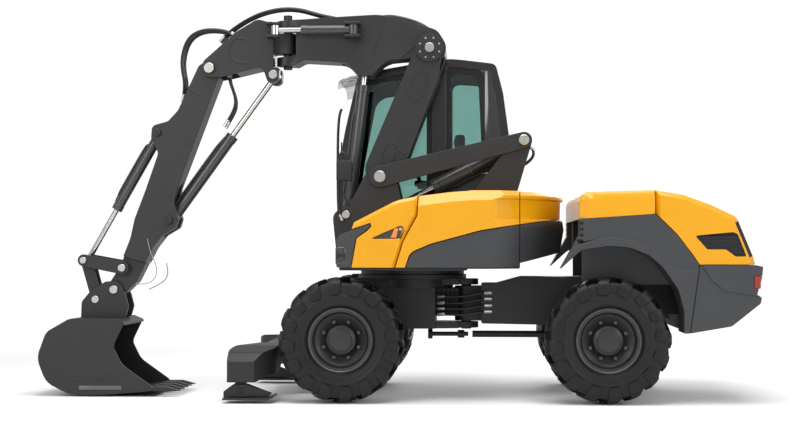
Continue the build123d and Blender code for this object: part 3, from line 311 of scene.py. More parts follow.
LUG_PATH = (  # distance from the middle of the tread, radius, growth in thickness
    (0.085, 0.511, 1.0), (0.140, 0.504, 1.22), (0.172, 0.494, 1.30), (0.197, 0.468, 1.22),
    (0.207, 0.436, 1.0), (0.2075, 0.408, 0.72),
)
SLANT = 0.445
bpy.ops.object.select_all(action="DESELECT")
bpy.ops.mesh.primitive_plane_add(size=1.0, location=(-0.047, -0.012, 0.510), rotation=(radians(90), 0, 0))
lug = bpy.context.object
lug.scale = (0.052, 0.044, 1)
bpy.ops.object.transform_apply(rotation=True, scale=True, location=True)
bpy.ops.object.mode_set(mode="EDIT")
bpy.ops.mesh.select_all(action="SELECT")
here = Vector((-0.047, -0.012, 0.510))
for across, radius, growth in LUG_PATH:
    along = (across + 0.012) * SLANT - 0.047
    there = Vector((along, across, (radius ** 2 - along ** 2) ** 0.5))
    bpy.ops.mesh.extrude_region_move(TRANSFORM_OT_translate={"value": there - here})
    bpy.ops.transform.resize(value=(growth, 1, 1), center_override=there)
    here = there
bpy.ops.mesh.select_all(action="SELECT")
bpy.ops.mesh.normals_make_consistent(inside=False)
bpy.ops.object.mode_set(mode="OBJECT")
round_over = lug.modifiers.new("round_over", "BEVEL")
round_over.width = 0.007
round_over.segments = 2
round_over.limit_method = "ANGLE"
bpy.ops.object.modifier_apply(modifier=round_over.name)
LUGS = 16
other_side = Matrix.Rotation(radians(180), 4, "Z")
copies = []
for k in range(LUGS):
    for half in (0, 1):
        one = bpy.data.objects.new("lug", lug.data.copy())
        bpy.context.collection.objects.link(one)
        turn = Matrix.Rotation(radians((k + half / 2) * 360 / LUGS), 4, "Y")
        flip = Matrix.Scale(-1, 4, (0, 1, 0)) if half else Matrix.Identity(4)
        one.data.transform(turn @ flip)
        if half:
            one.data.flip_normals()
        copies.append(one)
bpy.data.objects.remove(lug)
pick(casing)
for one in copies:
    one.select_set(True)
bpy.ops.object.join()
bpy.ops.object.shade_smooth_by_angle(angle=radians(42))
for name in ("front_left", "front_right", "rear_left", "rear_right"):
    low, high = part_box("tyre_" + name)
    tyre = bpy.data.objects.new("tyre", casing.data.copy())
    bpy.context.collection.objects.link(tyre)
    turned = other_side if "left" in name else Matrix.Identity(4)
    tyre.data.transform(Matrix.Translation((low + high) / 2) @ turned)
    settle(tyre, "lugged_tyre_" + name, tyre_rubber, "wheel_" + name)
    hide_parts("tyre_" + name)
bpy.data.objects.remove(casing)


# ------------------------------------------------------------------ rims and wheel nuts
# Pressed and welded steel rims, sprayed dark grey, held to the hub by eight studs with hexagon
# nuts. A loose lock ring lies outside the bead, and a tube valve stands in the dish.
def turned(sides, radius, length, spot, turn, *insets, open_ends=False):
    """A rolled or turned part: a cylinder whose end faces take insets of a thickness and a depth."""
    bpy.ops.object.select_all(action="DESELECT")
    bpy.ops.mesh.primitive_cylinder_add(vertices=sides, radius=radius, depth=length, location=spot,
                                        rotation=turn)
    part = bpy.context.object
    bpy.ops.object.mode_set(mode="EDIT")
    choose_faces(part, lambda middle, normal: abs(normal.z) > 0.9)
    for thickness, depth in insets:
        bpy.ops.mesh.inset(thickness=thickness, depth=depth)
    if open_ends:
        bpy.ops.mesh.delete(type="FACE")
    bpy.ops.object.mode_set(mode="OBJECT")
    return part


def joined(parts, name, material, body):
    """Parts of one make become one piece."""
    pick(parts[0])
    for part in parts:
        part.select_set(True)
    bpy.ops.object.join()
    return settle(bpy.context.object, name, material, body)


rim_paint = paint("rim_paint", (0.020, 0.020, 0.021), 0.40)
nut_steel = paint("nut_steel", (0.10, 0.10, 0.10), 0.35, metallic=0.6)
NUTS = 8
NUT_RING = 0.163  # radius of the ring of nuts
for name in ("front_left", "front_right", "rear_left", "rear_right"):
    eased("rim_" + name, 0.002, rim_paint)
    low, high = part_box("tyre_" + name)
    hub = (low + high) / 2
    side = -1 if "left" in name else 1
    parts = []
    for k in range(NUTS):
        a = radians(22.5 + k * 360 / NUTS)
        spot = hub + Vector((NUT_RING * cos(a), side * 0.064, NUT_RING * sin(a)))
        parts.append(turned(6, 0.017, 0.030, spot, (radians(90), a, 0), (0.004, 0.002)))
        parts.append(turned(16, 0.009, 0.050, spot, (radians(90), 0, 0), (0.002, 0.002)))
    bpy.ops.object.select_all(action="DESELECT")
    bpy.ops.mesh.primitive_torus_add(location=hub + Vector((0, side * 0.152, 0)),
                                     rotation=(radians(90), 0, 0), major_radius=0.268,
                                     minor_radius=0.009, major_segments=96, minor_segments=10)
    parts.append(bpy.context.object)
    valve_foot = hub + Vector((0.205, side * 0.10, 0.05))
    parts.append(turned(12, 0.005, 0.05, valve_foot, (radians(70), 0, 0), (0.0015, 0.002)))
    joined(parts, "wheel_nuts_" + name, nut_steel, "wheel_" + name)


# ------------------------------------------------------------------ body panels
# Yellow covers pressed from thick sheet, with a clear top coat, over dark grey moulded skirts.
# The lid's side grilles are black mesh behind slats, and the louvres are open slots.
def fill_recess(piece, half_width, depth, ahead, up):
    """The floor of a recess in a piece's two sides takes its second material; sizes in metres."""
    for face in piece.data.polygons:
        middle = face.center
        deep = half_width - depth[1] < abs(middle.y) < half_width - depth[0]
        if deep and MIDDLE_X + ahead[0] < middle.x < MIDDLE_X + ahead[1] and up[0] < middle.z < up[1]:
            face.material_index = 1


body_paint = paint("body_paint", (0.76, 0.345, 0.003), 0.30, tone=0.02, peel=0.10, coat=0.5, shine=0.3)
panel_paint = paint("panel_paint", (0.040, 0.042, 0.046), 0.42, tone=0.04)
grille_black = paint("grille_black", (0.008, 0.009, 0.013), 0.5)
tail_red = paint("tail_red", (0.30, 0.030, 0.018), 0.12, tone=0.1, coat=1.0)
eased("upper_covers", 0.006, body_paint)
eased("upper_skirts", 0.005, panel_paint)
eased("hood_front", 0.006, body_paint)
lid = eased("engine_lid", 0.004, body_paint, grille_black)
fill_recess(lid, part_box("engine_lid")[1].y, (0.003, 0.030), (1.83, 2.28), (1.235, 1.455))
eased("rear_fenders", 0.005, panel_paint)
bumper = eased("rear_counterweight", 0.005, panel_paint, tail_red)
fill_recess(bumper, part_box("rear_counterweight")[1].y, (0.0005, 0.017), (2.331, 2.389), (0.972, 1.082))


# ------------------------------------------------------------------ cab shell and door
# A welded tube cab in gloss black with bonded tinted panes. Each pane has a black printed
# border with round inner corners.
cab_paint = paint("cab_paint", (0.010, 0.010, 0.011), 0.22, coat=0.4)
eased("cab_shell", 0.006, cab_paint, windows=True)
eased("cab_door", 0.005, cab_paint, windows=True)
glazing = bpy.data.materials.new("glazing")
glazing.use_nodes = True
tree = glazing.node_tree
skin = tree.nodes["Principled BSDF"]
skin.inputs["Transmission Weight"].default_value = 1.0
skin.inputs["IOR"].default_value = 1.45
where = tree.nodes.new("ShaderNodeTexCoord")
wave = tree.nodes.new("ShaderNodeTexNoise")
wave.inputs["Scale"].default_value = 6.0
tint = tree.nodes.new("ShaderNodeValToRGB")
tint.color_ramp.elements[0].color = (0.36, 0.55, 0.51, 1)
tint.color_ramp.elements[1].color = (0.40, 0.59, 0.55, 1)
haze = tree.nodes.new("ShaderNodeMapRange")
haze.inputs["To Min"].default_value = 0.0
haze.inputs["To Max"].default_value = 0.02
ripple = tree.nodes.new("ShaderNodeBump")
ripple.inputs["Strength"].default_value = 0.02
ripple.inputs["Distance"].default_value = 0.0004
tree.links.new(where.outputs["Object"], wave.inputs["Vector"])
tree.links.new(wave.outputs["Fac"], tint.inputs["Fac"])
tree.links.new(tint.outputs["Color"], skin.inputs["Base Color"])
tree.links.new(wave.outputs["Fac"], haze.inputs["Value"])
tree.links.new(haze.outputs["Result"], skin.inputs["Roughness"])
tree.links.new(wave.outputs["Fac"], ripple.inputs["Height"])
tree.links.new(ripple.outputs["Normal"], skin.inputs["Normal"])
coat_nodes(glazing, "cab_glass", "door_glass")
border_black = paint("border_black", (0.006, 0.006, 0.007), 0.25)


def place(x, y, z):
    """A point of the machine from millimetres ahead of the middle between the axles."""
    return Vector((MIDDLE_X + x / 1000, y / 1000, z / 1000))


def plate(outline, y):
    """A flat plate in edit mode, cut to an outline of points ahead and up."""
    bpy.ops.object.select_all(action="DESELECT")
    bpy.ops.mesh.primitive_circle_add(vertices=len(outline), fill_type="NGON", location=(0, 0, 0))
    cut = bpy.context.object
    for vertex, (x, z) in zip(cut.data.vertices, outline):
        vertex.co = place(x, y, z)
    bpy.ops.object.mode_set(mode="EDIT")
    bpy.ops.mesh.select_all(action="SELECT")
    return cut


def thicken(sheet, thickness):
    """The active sheet gets its thickness."""
    thick = sheet.modifiers.new("thick", "SOLIDIFY")
    thick.thickness = thickness
    bpy.ops.object.modifier_apply(modifier=thick.name)


BORDER = 80  # width of the printed border, half of it behind the frame


def pane_border(name, body, y, clear):
    """A printed black border with round inner corners; clear is the outline of the clear glass."""
    middle_x = sum(x for x, z in clear) / len(clear)
    middle_z = sum(z for x, z in clear) / len(clear)
    border = plate([(x + copysign(BORDER, x - middle_x), z + copysign(BORDER, z - middle_z))
                    for x, z in clear], y)
    bpy.ops.mesh.bevel(offset=0.16, segments=7, affect="VERTICES")
    choose_faces(border, lambda middle, normal: True)
    bpy.ops.mesh.inset(thickness=BORDER / 1000, depth=0)
    bpy.ops.mesh.delete(type="FACE")
    bpy.ops.object.mode_set(mode="OBJECT")
    thicken(border, 0.003)
    return settle(border, name, border_black, body)


FRONT_PANE = ((-1128, 1545), (-1150, 2080), (-975, 2815), (-440, 2905), (-440, 1545))
REAR_PANE = ((-220, 2045), (-220, 2925), (30, 2900), (75, 2045))
pane_border("border_near_front", "upper", 106, FRONT_PANE)
pane_border("border_near_rear", "upper", 106, REAR_PANE)
FAR_PANE = ((-220, 2045), (-220, 2925), (85, 2895), (230, 2045))
DOOR_PANE = ((-1090, 1470), (-1112, 2080), (-950, 2770), (-455, 2870), (-455, 1470))
pane_border("border_far_rear", "upper", 1084, FAR_PANE)
pane_border("border_door", "door", 1082, DOOR_PANE)
bpy.ops.object.select_all(action="DESELECT")
bpy.ops.mesh.primitive_grid_add(x_subdivisions=14, y_subdivisions=3, size=2, location=(0, 0, 0))
corner = bpy.context.object
for vertex in corner.data.vertices:
    across, up = (vertex.co.x + 1) / 2, (vertex.co.y + 1) / 2
    back = 340 - 170 * up
    vertex.co = place(95 + (back - 95) * across, 100 - 13 * sin(pi * across), 2010 + 930 * up)
thicken(corner, 0.003)
bpy.ops.object.shade_smooth_by_angle(angle=radians(30))
corner_gloss = paint("corner_gloss", (0.012, 0.012, 0.013), 0.10, coat=1.0, peel=0.03)
settle(corner, "rear_corner_panel", corner_gloss, "upper")


# ------------------------------------------------------------------ boom mechanism
# Box sections welded from plate, in satin dark grey. The rods are hard chrome, the pins zinc.
boom_paint = paint("boom_paint", (0.020, 0.020, 0.021), 0.42, shine=0.45)
for name in ("boom_bracket", "tie_brace", "strut", "boom", "offset_head", "dipper"):
    eased(name, 0.005, boom_paint)
for name in ("rocker", "bucket_link", "bucket_hitch", "bucket"):
    eased(name, 0.003, boom_paint)
barrel_paint = paint("barrel_paint", (0.040, 0.041, 0.044), 0.28, coat=0.3)
chrome = paint("chrome", (0.56, 0.57, 0.58), 0.16, tone=0.02, peel=0.0, metallic=1.0)
for name in ("main", "lift", "dipper", "bucket", "offset"):
    eased(name + "_cylinder_barrel", 0.002, barrel_paint)
    eased(name + "_cylinder_rod", 0.002, chrome)
zinc = paint("zinc", (0.60, 0.59, 0.55), 0.32, metallic=1.0)
eased("knee_pin", 0.003, boom_paint)
eased("lift_pin", 0.002, zinc)


def turned_cap(spot, outward, radius, height):
    """A turned cap with a chamfered rim, a shallow groove and a centre hole; outward is -1 left, 1 right."""
    bpy.ops.object.select_all(action="DESELECT")
    bpy.ops.mesh.primitive_cylinder_add(vertices=40, radius=radius, depth=2 * height, location=spot,
                                        rotation=(radians(-90 * outward), 0, 0))
    cap = bpy.context.object
    bpy.ops.object.mode_set(mode="EDIT")
    choose_faces(cap, lambda middle, normal: normal.z > 0.9)
    for thickness, depth in ((0.10, 0.10), (0.22, 0.0), (0.03, -0.08), (0.10, 0.0), (0.03, 0.08),
                             (0.30, 0.0), (0.02, -0.15)):
        bpy.ops.mesh.inset(thickness=thickness * radius, depth=depth * radius)
    bpy.ops.object.mode_set(mode="OBJECT")
    bpy.ops.object.shade_smooth_by_angle(angle=radians(25))
    return cap


def hex_bolt(spot, turn, size):
    """A hexagon bolt head on a washer; the shank goes the other way."""
    bpy.ops.object.select_all(action="DESELECT")
    bpy.ops.mesh.primitive_cylinder_add(vertices=24, radius=size * 0.72, depth=size * 0.3, location=spot,
                                        rotation=turn)
    washer = bpy.context.object
    bpy.ops.object.mode_set(mode="EDIT")
    choose_faces(washer, lambda middle, normal: normal.z > 0.9)
    bpy.ops.mesh.inset(thickness=size * 0.16, depth=0)
    bpy.ops.mesh.inset(thickness=0.0, depth=size * 0.42)
    bpy.ops.mesh.inset(thickness=size * 0.08, depth=size * 0.05)
    bpy.ops.object.mode_set(mode="OBJECT")
    return washer


PINS = (  # ahead, up, left face, right face, radius, body
    (-838, 1949, -430, 76, 0.052, "upper"), (438, 2270, -430, 76, 0.046, "upper"),
    (-1140, 1613, -402, 82, 0.036, "upper"), (-398, 3097, -384, 64, 0.042, "knee"),
    (-2376, 2931, -352, 32, 0.046, "head"), (-1802, 2871, -330, 10, 0.040, "head"),
    (-2753, 1564, -309, -11, 0.036, "dipper"), (-2859, 2358, -309, -11, 0.036, "dipper"),
    (-3522, 1205, -337, 17, 0.030, "rocker"), (-3171, 1137, -337, 17, 0.034, "rocker"),
    (-3252, 941, -303, -17, 0.038, "bucket"), (-3423, 851, -288, -32, 0.034, "bucket"),
)
PAINTED_PINS = (6, 7)  # the two on the dipper
for number, (x, z, left, right, radius, body) in enumerate(PINS):
    caps = []
    for outward, face in ((-1, left), (1, right)):
        caps.append(turned_cap(place(x, face, z), outward, radius, 0.012))
    joined(caps, "pin_caps_%02d" % number, boom_paint if number in PAINTED_PINS else zinc, body)
RING_BOLTS = 8
RING = 92  # radius of the ring of bolts round the knee pin
ring_bolts = []
for outward, face in ((-1, -372), (1, 52)):
    for k in range(RING_BOLTS):
        a = radians(22.5 + k * 360 / RING_BOLTS)
        spot = place(-398 + RING * cos(a), face, 3097 + RING * sin(a))
        ring_bolts.append(hex_bolt(spot, (radians(-90 * outward), 0, 0), 0.011))
joined(ring_bolts, "knee_cap_bolts", zinc, "knee")


# ------------------------------------------------------------------ weld beads and pressed marks
# The boxes are closed by hand-laid fillet welds that stand proud of the plate and are painted
# over. The strut's web carries a pressed oval that stiffens it.
weld_paint = paint("weld_paint", (0.020, 0.020, 0.021), 0.38, tone=0.2, peel=1.0, peel_scale=120.0)


def rod_along(points, radius, closed=False, stiff=4):
    """A round rod, hose or weld bead through points of the machine."""
    bpy.ops.object.select_all(action="DESELECT")
    bpy.ops.curve.primitive_nurbs_path_add(location=(0, 0, 0))
    run = bpy.context.object
    run.data.splines.clear()
    spline = run.data.splines.new("NURBS")
    spline.points.add(len(points) - 1)
    for point, spot in zip(spline.points, points):
        point.co = (*spot, 1)
    spline.order_u = min(stiff, len(points))
    spline.use_endpoint_u = not closed
    spline.use_cyclic_u = closed
    run.data.resolution_u = 5
    run.data.bevel_depth = radius
    run.data.bevel_resolution = 3
    run.data.use_fill_caps = True
    bpy.ops.object.convert(target="MESH")
    bpy.ops.object.shade_smooth_by_angle(angle=radians(50))
    return bpy.context.object


def bead(name, body, y, radius, *spots):
    """One weld bead on the left face and its twin on the right face of a plate."""
    twins = [rod_along([place(px, face, pz) for px, pz in spots], radius) for face in y]
    joined(twins, name, weld_paint, body)


bead("boom_seam_weld", "boom", (-312, -8), 0.006, (-797, 3372), (-836, 3256), (-875, 3140), (-914, 3025))
bead("boom_upper_weld", "boom", (-312, -8), 0.003, (-627, 3299), (-560, 3296), (-485, 3280), (-435, 3240),
     (-395, 3191))
bead("boom_lower_weld", "boom", (-312, -8), 0.006, (-640, 3030), (-600, 3062), (-560, 3100), (-520, 3129))
bead("head_plate_weld", "head", (-330, 10), 0.007, (-2037, 3183), (-2090, 3204), (-2136, 3202),
     (-2185, 3150), (-2199, 3094), (-2199, 3050), (-2172, 3005), (-2110, 2980), (-2055, 2977))
bead("dipper_plate_weld", "dipper", (-294, -26), 0.006, (-2594, 2777), (-2540, 2720), (-2480, 2695),
     (-2431, 2695))
bead("strut_foot_weld", "strut", (-350, 30), 0.006, (-679, 2191), (-640, 2170), (-605, 2130),
     (-600, 2090), (-626, 2057))
MARK = ((0.09, 0), (0.09, 0.05), (0, 0.05), (-0.09, 0.05), (-0.09, 0), (-0.09, -0.05), (0, -0.05),
        (0.09, -0.05))
OVAL_POINTS = 20
ahead_up = Vector((0.358, 0, 0.934))
aside = Vector((0.934, 0, -0.358))
for face, side in ((-350, "left"), (30, "right")):
    middle = place(-501, face, 2760)
    turns = [2 * pi * k / OVAL_POINTS for k in range(OVAL_POINTS)]
    ring = [middle + ahead_up * (0.150 * sin(a)) + aside * (0.074 * cos(a)) for a in turns]
    settle(rod_along(ring, 0.006, closed=True), "strut_oval_" + side, boom_paint, "strut")
    middle = place(-757, face, 2160)
    corners = [middle + ahead_up * a + aside * b for a, b in MARK]
    settle(rod_along(corners, 0.005, closed=True), "strut_mark_" + side, boom_paint, "strut")


# ------------------------------------------------------------------ hydraulic hoses and pipes
# Wire-braided rubber hoses, 25 mm across, with crimped steel ends, and drawn steel pipes clamped
# along the cylinders. The bundles arch over each joint with slack for its travel.
hose_rubber = paint("hose_rubber", (0.008, 0.008, 0.009), 0.42, tone=0.2, peel=0.6, peel_scale=420.0)


def crimp(spot, towards, radius):
    """A crimped steel sleeve on a hose end."""
    along = (towards - spot).normalized()
    facing = along.to_track_quat("Z", "Y").to_euler()
    spot = spot + along * radius * 2.5
    return turned(12, radius * 1.25, radius * 5, spot, facing, (radius * 0.2, radius * 0.25))


def bundle(name, spots, offsets, radius, body, crossing=None):
    """Hoses side by side; a bundle that crosses a joint is put on no body, and its last ends go on the next
    body.
    """
    hoses, ends = [], []
    for across, up in offsets:
        points = [place(px, py + across, pz + up) for px, py, pz in spots]
        hoses.append(rod_along(points, radius))
        ends.append((crimp(points[0], points[1], radius), crimp(points[-1], points[-2], radius)))
    pick(hoses[0])
    for one in hoses:
        one.select_set(True)
    bpy.ops.object.join()
    run = bpy.context.object
    bpy.ops.object.transform_apply(location=True, rotation=True, scale=True)
    run.name = run.data.name = name
    run.data.materials.clear()
    run.data.materials.append(hose_rubber)
    last = crossing[0] if crossing else body
    if crossing:
        place(*crossing[1])
        place(*crossing[2])
        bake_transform(run)
    else:
        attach(run, body)
    joined([end[0] for end in ends], name + "_first_ends", zinc, body)
    joined([end[1] for end in ends], name + "_last_ends", zinc, last)


def over_boom(*spots):
    """Points over the middle plane of the boom, from how far ahead and how far up they are."""
    return [(x, BOOM_Y, z) for x, z in spots]


BOOM_Y = -160
HOSE = 0.0125  # radius
THREE = ((-52, -8), (0, 4), (52, -8))
FOUR = ((-78, 0), (-40, 8), (40, 8), (78, 0))
bundle("boom_to_head_hoses",
       over_boom((-1150, 3350), (-1210, 3390), (-1379, 3412), (-1533, 3470), (-1706, 3492), (-1925, 3455),
                 (-2126, 3352), (-2240, 3262), (-2300, 3190)),
       THREE, HOSE, "boom", ("head", *over_boom((-1450, 3400), (-1950, 3440))))
bundle("head_to_dipper_hoses",
       over_boom((-2150, 3215), (-2200, 3268), (-2355, 3296), (-2493, 3282), (-2603, 3210), (-2652, 3028),
                 (-2640, 2900), (-2610, 2780), (-2640, 2640)),
       FOUR, HOSE, "head", ("dipper", *over_boom((-2300, 3290), (-2640, 2960))))
bundle("dipper_cylinder_hoses",
       over_boom((-2215, 2925), (-2225, 2860), (-2195, 2771), (-2154, 2662), (-2172, 2560), (-2225, 2480),
                 (-2260, 2420)),
       ((-40, 0), (40, -12)), HOSE, "head", ("dipper", *over_boom((-2245, 2850), (-2180, 2540))))
bundle("knee_hoses_upper",
       over_boom((-880, 3385), (-807, 3418), (-681, 3400), (-491, 3348), (-350, 3252), (-268, 3120),
                 (-262, 3040)),
       THREE, HOSE, "boom", ("knee", *over_boom((-680, 3395), (-300, 3180))))
bundle("knee_hoses_lower",
       over_boom((-268, 3110), (-262, 3030), (-300, 2930), (-345, 2820), (-380, 2720)),
       THREE, HOSE, "knee", ("strut", *over_boom((-262, 3030), (-345, 2820))))
bundle("mast_hoses",
       ((480, -345, 2225), (540, -345, 2180), (520, -345, 2100), (420, -345, 2040), (300, -345, 1960),
        (180, -345, 1800)),
       ((0, 0), (36, 6)), HOSE, "upper")
bundle("front_riser_hoses",
       ((-1171, -404, 1560), (-1207, -404, 1640), (-1213, -404, 1850), (-1207, -404, 2094),
        (-1180, -404, 2200), (-1120, -404, 2120), (-1095, -404, 1960)),
       ((0, 0), (24, 10)), 0.011, "upper")
for low, high in ((720, 745), (770, 800), (820, 860), (880, 915)):
    bundle("articulation_hoses_%d" % low,
           ((-330, -215, low), (-250, -238, low + 5), (-140, -262, low - 6), (-30, -268, high - 16),
            (70, -262, high), (150, -236, high)),
           ((0, 0),), 0.013, "chassis", ("rear_chassis", (-250, -238, low), (90, -255, high)))

CYLINDERS = (  # name, base pin, rod pin, barrel length, tube radius, which side the pipes are on
    ("main", (438, 2270), (-912, 1577), 0.88, 0.058, 1),
    ("lift", (-1140, 1613), (-984, 2924), 1.04, 0.050, 1),
    ("dipper", (-2753, 1564), (-1802, 2871), 0.96, 0.046, 1),
    ("bucket", (-2859, 2358), (-3522, 1205), 0.80, 0.041, -1),
)
for name, base, rod_end, length, tube, side in CYLINDERS:
    start, end = place(base[0], BOOM_Y, base[1]), place(rod_end[0], BOOM_Y, rod_end[1])
    along = (end - start).normalized()
    facing = along.to_track_quat("Z", "Y").to_euler()
    out = Vector((-along.z, 0, along.x)) * side
    parts = []
    for across in (-0.016, 0.016):
        near, far = start + along * 0.14, start + along * (length - (0.05 if across > 0 else 0.11))
        beside = Vector((0, across, 0))
        lift_off = out * (tube + 0.016) + beside
        parts.append(rod_along([near + out * tube * 0.7 + beside, near + lift_off * 0.9,
                                near + lift_off + along * 0.03, (near + far) / 2 + lift_off,
                                far + lift_off - along * 0.03, far + lift_off * 0.9,
                                far + out * tube * 0.7 + beside], 0.008))
    for share in (0.30, 0.72):
        spot = start + along * (length * share)
        parts.append(turned(48, tube + 0.004, 0.030, spot, facing, (0.003, 0.003), open_ends=True))
        bpy.ops.object.shade_smooth_by_angle(angle=radians(25))
    if name == "main":
        spot = start + along * 0.69
        parts.append(turned(56, 0.071, 0.30, spot, facing, (0.005, 0.006), (0.006, 0.002), open_ends=True))
        bpy.ops.object.shade_smooth_by_angle(angle=radians(25))
    joined(parts, name + "_cylinder_pipes", barrel_paint, name + "_barrel")
cable_grey = paint("cable_grey", (0.30, 0.30, 0.30), 0.45, tone=0.2)
LEFT_LINE = ((-2945, 1400), (-2934, 1345), (-2918, 1270), (-2877, 1197), (-2852, 1110), (-2880, 1020),
             (-2963, 984), (-3050, 994))
MIDDLE_LINE = ((-2800, 1180), (-2782, 1100), (-2790, 1040), (-2850, 990), (-2960, 940))
grease_lines = [rod_along([place(x, -301, z) for x, z in LEFT_LINE], 0.004),
                rod_along([place(x, BOOM_Y, z) for x, z in MIDDLE_LINE], 0.005)]
joined(grease_lines, "dipper_grease_lines", cable_grey, "dipper")


# ------------------------------------------------------------------ articulation shade block and front shaft
# A near-black block with ribbed faces fills the front frame ahead of the pivot: painted shade. A jointed
# steel shaft with a rubber gaiter runs forward under it.
def block(low, high):
    """A box between two points of the machine, left in edit mode with all of it selected."""
    bpy.ops.object.select_all(action="DESELECT")
    bpy.ops.mesh.primitive_cube_add(size=1, location=(place(*low) + place(*high)) / 2)
    box = bpy.context.object
    box.scale = [abs(v) for v in place(*high) - place(*low)]
    bpy.ops.object.transform_apply(scale=True)
    bpy.ops.object.mode_set(mode="EDIT")
    bpy.ops.mesh.select_all(action="SELECT")
    return box


# Painted shade: a near-black block stands where the front frame ahead of the pivot is in shade.
shade_block_black = paint("shade_block_black", (0.007, 0.007, 0.008), 0.6, tone=0.2)
shade_block = block((-367.5, -180, 707), (-142.5, 180, 957))
bpy.ops.mesh.subdivide(number_cuts=5)
choose_faces(shade_block, lambda middle, normal: abs(normal.y) > 0.9)
bpy.ops.mesh.inset(thickness=0.004, depth=0.004, use_individual=True)
choose_faces(shade_block, lambda middle, normal: normal.x > 0.9)
bpy.ops.mesh.inset(thickness=0.005, depth=-0.004, use_individual=True)
bpy.ops.object.mode_set(mode="OBJECT")
settle(shade_block, "articulation_shade_block", shade_block_black, "chassis")
low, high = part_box("driveshaft")
shaft_y, shaft_z = (low.y + high.y) / 2, (low.z + high.z) / 2
shaft = []
for far, near, radius in ((-390, -60, 0.020), (-150, -95, 0.036), (-420, -385, 0.045)):
    spot = (MIDDLE_X + (near + far) / 2000, shaft_y, shaft_z)
    shaft.append(turned(32, radius, (near - far) / 1000, spot, (0, radians(90), 0), (0.003, 0.003)))
    bpy.ops.object.shade_smooth_by_angle(angle=radians(25))
joined(shaft, "front_shaft", frame_paint, "chassis")


# ------------------------------------------------------------------ seat
# A sprung driver's seat: a foam cushion, back and headrest under black woven cloth with sewn
# channels, on a moulded base, between two moulded armrests with control levers.
trim_plastic = paint("trim_plastic", (0.012, 0.012, 0.013), 0.6)
coat_nodes(trim_plastic, "seat_base", "steering_column")
seat_cloth = paint("seat_cloth", (0.030, 0.031, 0.034), 0.85, tone=0.15, peel=1.0, peel_scale=600.0,
                   shine=0.2)
seat_cloth.node_tree.nodes["Principled BSDF"].inputs["Sheen Weight"].default_value = 0.4


def cushion(name, low, high, soft_side, crown):
    """A crowned foam pad with a sewn channel round its face; soft_side is the face's direction."""
    pad = block(low, high)
    bpy.ops.mesh.bevel(offset=0.028, segments=2, affect="EDGES")
    choose_faces(pad, lambda middle, normal: normal.dot(soft_side) > 0.98)
    bpy.ops.mesh.inset(thickness=0.030, depth=crown)
    bpy.ops.mesh.inset(thickness=0.012, depth=-0.010)
    bpy.ops.mesh.inset(thickness=0.014, depth=0.012)
    bpy.ops.mesh.inset(thickness=0.045, depth=crown * 0.6)
    bpy.ops.object.mode_set(mode="OBJECT")
    plump = pad.modifiers.new("plump", "SUBSURF")
    plump.levels = plump.render_levels = 2
    bpy.ops.object.modifier_apply(modifier=plump.name)
    bpy.ops.object.shade_smooth()
    settle(pad, name, seat_cloth, "upper")
    return pad


base_pad = cushion("seat_cushion", (-620, 360, 1645), (-150, 840, 1760), Vector((0, 0, 1)), 0.016)
back_pad = cushion("seat_back", (-215, 370, 1730), (-85, 830, 2215), Vector((-1, 0, 0)), 0.016)
head_pad = cushion("seat_headrest", (-190, 470, 2240), (-90, 730, 2390), Vector((-1, 0, 0)), 0.010)
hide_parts("seat")
arms = []
for y in (300, 900):
    rest = (-560, y - 32, 1890), (-190, y + 32, 1945)
    console = (-600, y - 60, 1250), (-150, y + 60, 1780)
    for low, high in (rest, console):
        arm = block(low, high)
        bpy.ops.mesh.bevel(offset=0.016, segments=4, affect="EDGES")
        choose_faces(arm, lambda middle, normal: normal.z > 0.98)
        bpy.ops.mesh.inset(thickness=0.008, depth=-0.003)
        bpy.ops.object.mode_set(mode="OBJECT")
        arms.append(arm)
    arms.append(rod_along([place(-240, y, 1780), place(-240, y, 1840), place(-250, y, 1900)], 0.020))
    arms.append(rod_along([place(-520, y, 1940), place(-540, y, 2000), place(-545, y, 2050)], 0.012))
    bpy.ops.object.select_all(action="DESELECT")
    bpy.ops.mesh.primitive_uv_sphere_add(segments=24, ring_count=16, radius=0.03,
                                         location=place(-552, y, 2100))
    grip = bpy.context.object
    grip.scale = (0.9, 0.8, 1.9)
    bpy.ops.object.mode_set(mode="EDIT")
    choose_faces(grip, lambda middle, normal: normal.z > 0.75)
    bpy.ops.mesh.inset(thickness=0.003, depth=0.002)
    bpy.ops.object.mode_set(mode="OBJECT")
    bpy.ops.object.shade_smooth_by_angle(angle=radians(30))
    arms.append(grip)
for y in (470, 730):
    arms.append(rod_along([place(-140, (y + 600) / 2, 2200), place(-140, (y + 600) / 2, 2250)], 0.007))
joined(arms, "armrests_and_levers", trim_plastic, "upper")


# ------------------------------------------------------------------ cab fittings
# A display on a stalk, a wiper, a clear moulded sun visor, tube hand rails, a mirror in a moulded
# shell and pull handles: bought-in plastic and tube parts bolted to the cab.
def rounded_box(low, high, radius, face_direction, rim):
    """A moulded box with round edges and a face set back inside a rim."""
    box = block(low, high)
    bpy.ops.mesh.bevel(offset=radius, segments=4, affect="EDGES")
    choose_faces(box, lambda middle, normal: normal.dot(face_direction) > 0.998)
    bpy.ops.mesh.inset(thickness=rim, depth=0)
    bpy.ops.mesh.inset(thickness=rim * 0.2, depth=-rim * 0.4)
    bpy.ops.object.mode_set(mode="OBJECT")
    bpy.ops.object.shade_smooth_by_angle(angle=radians(35))
    return box


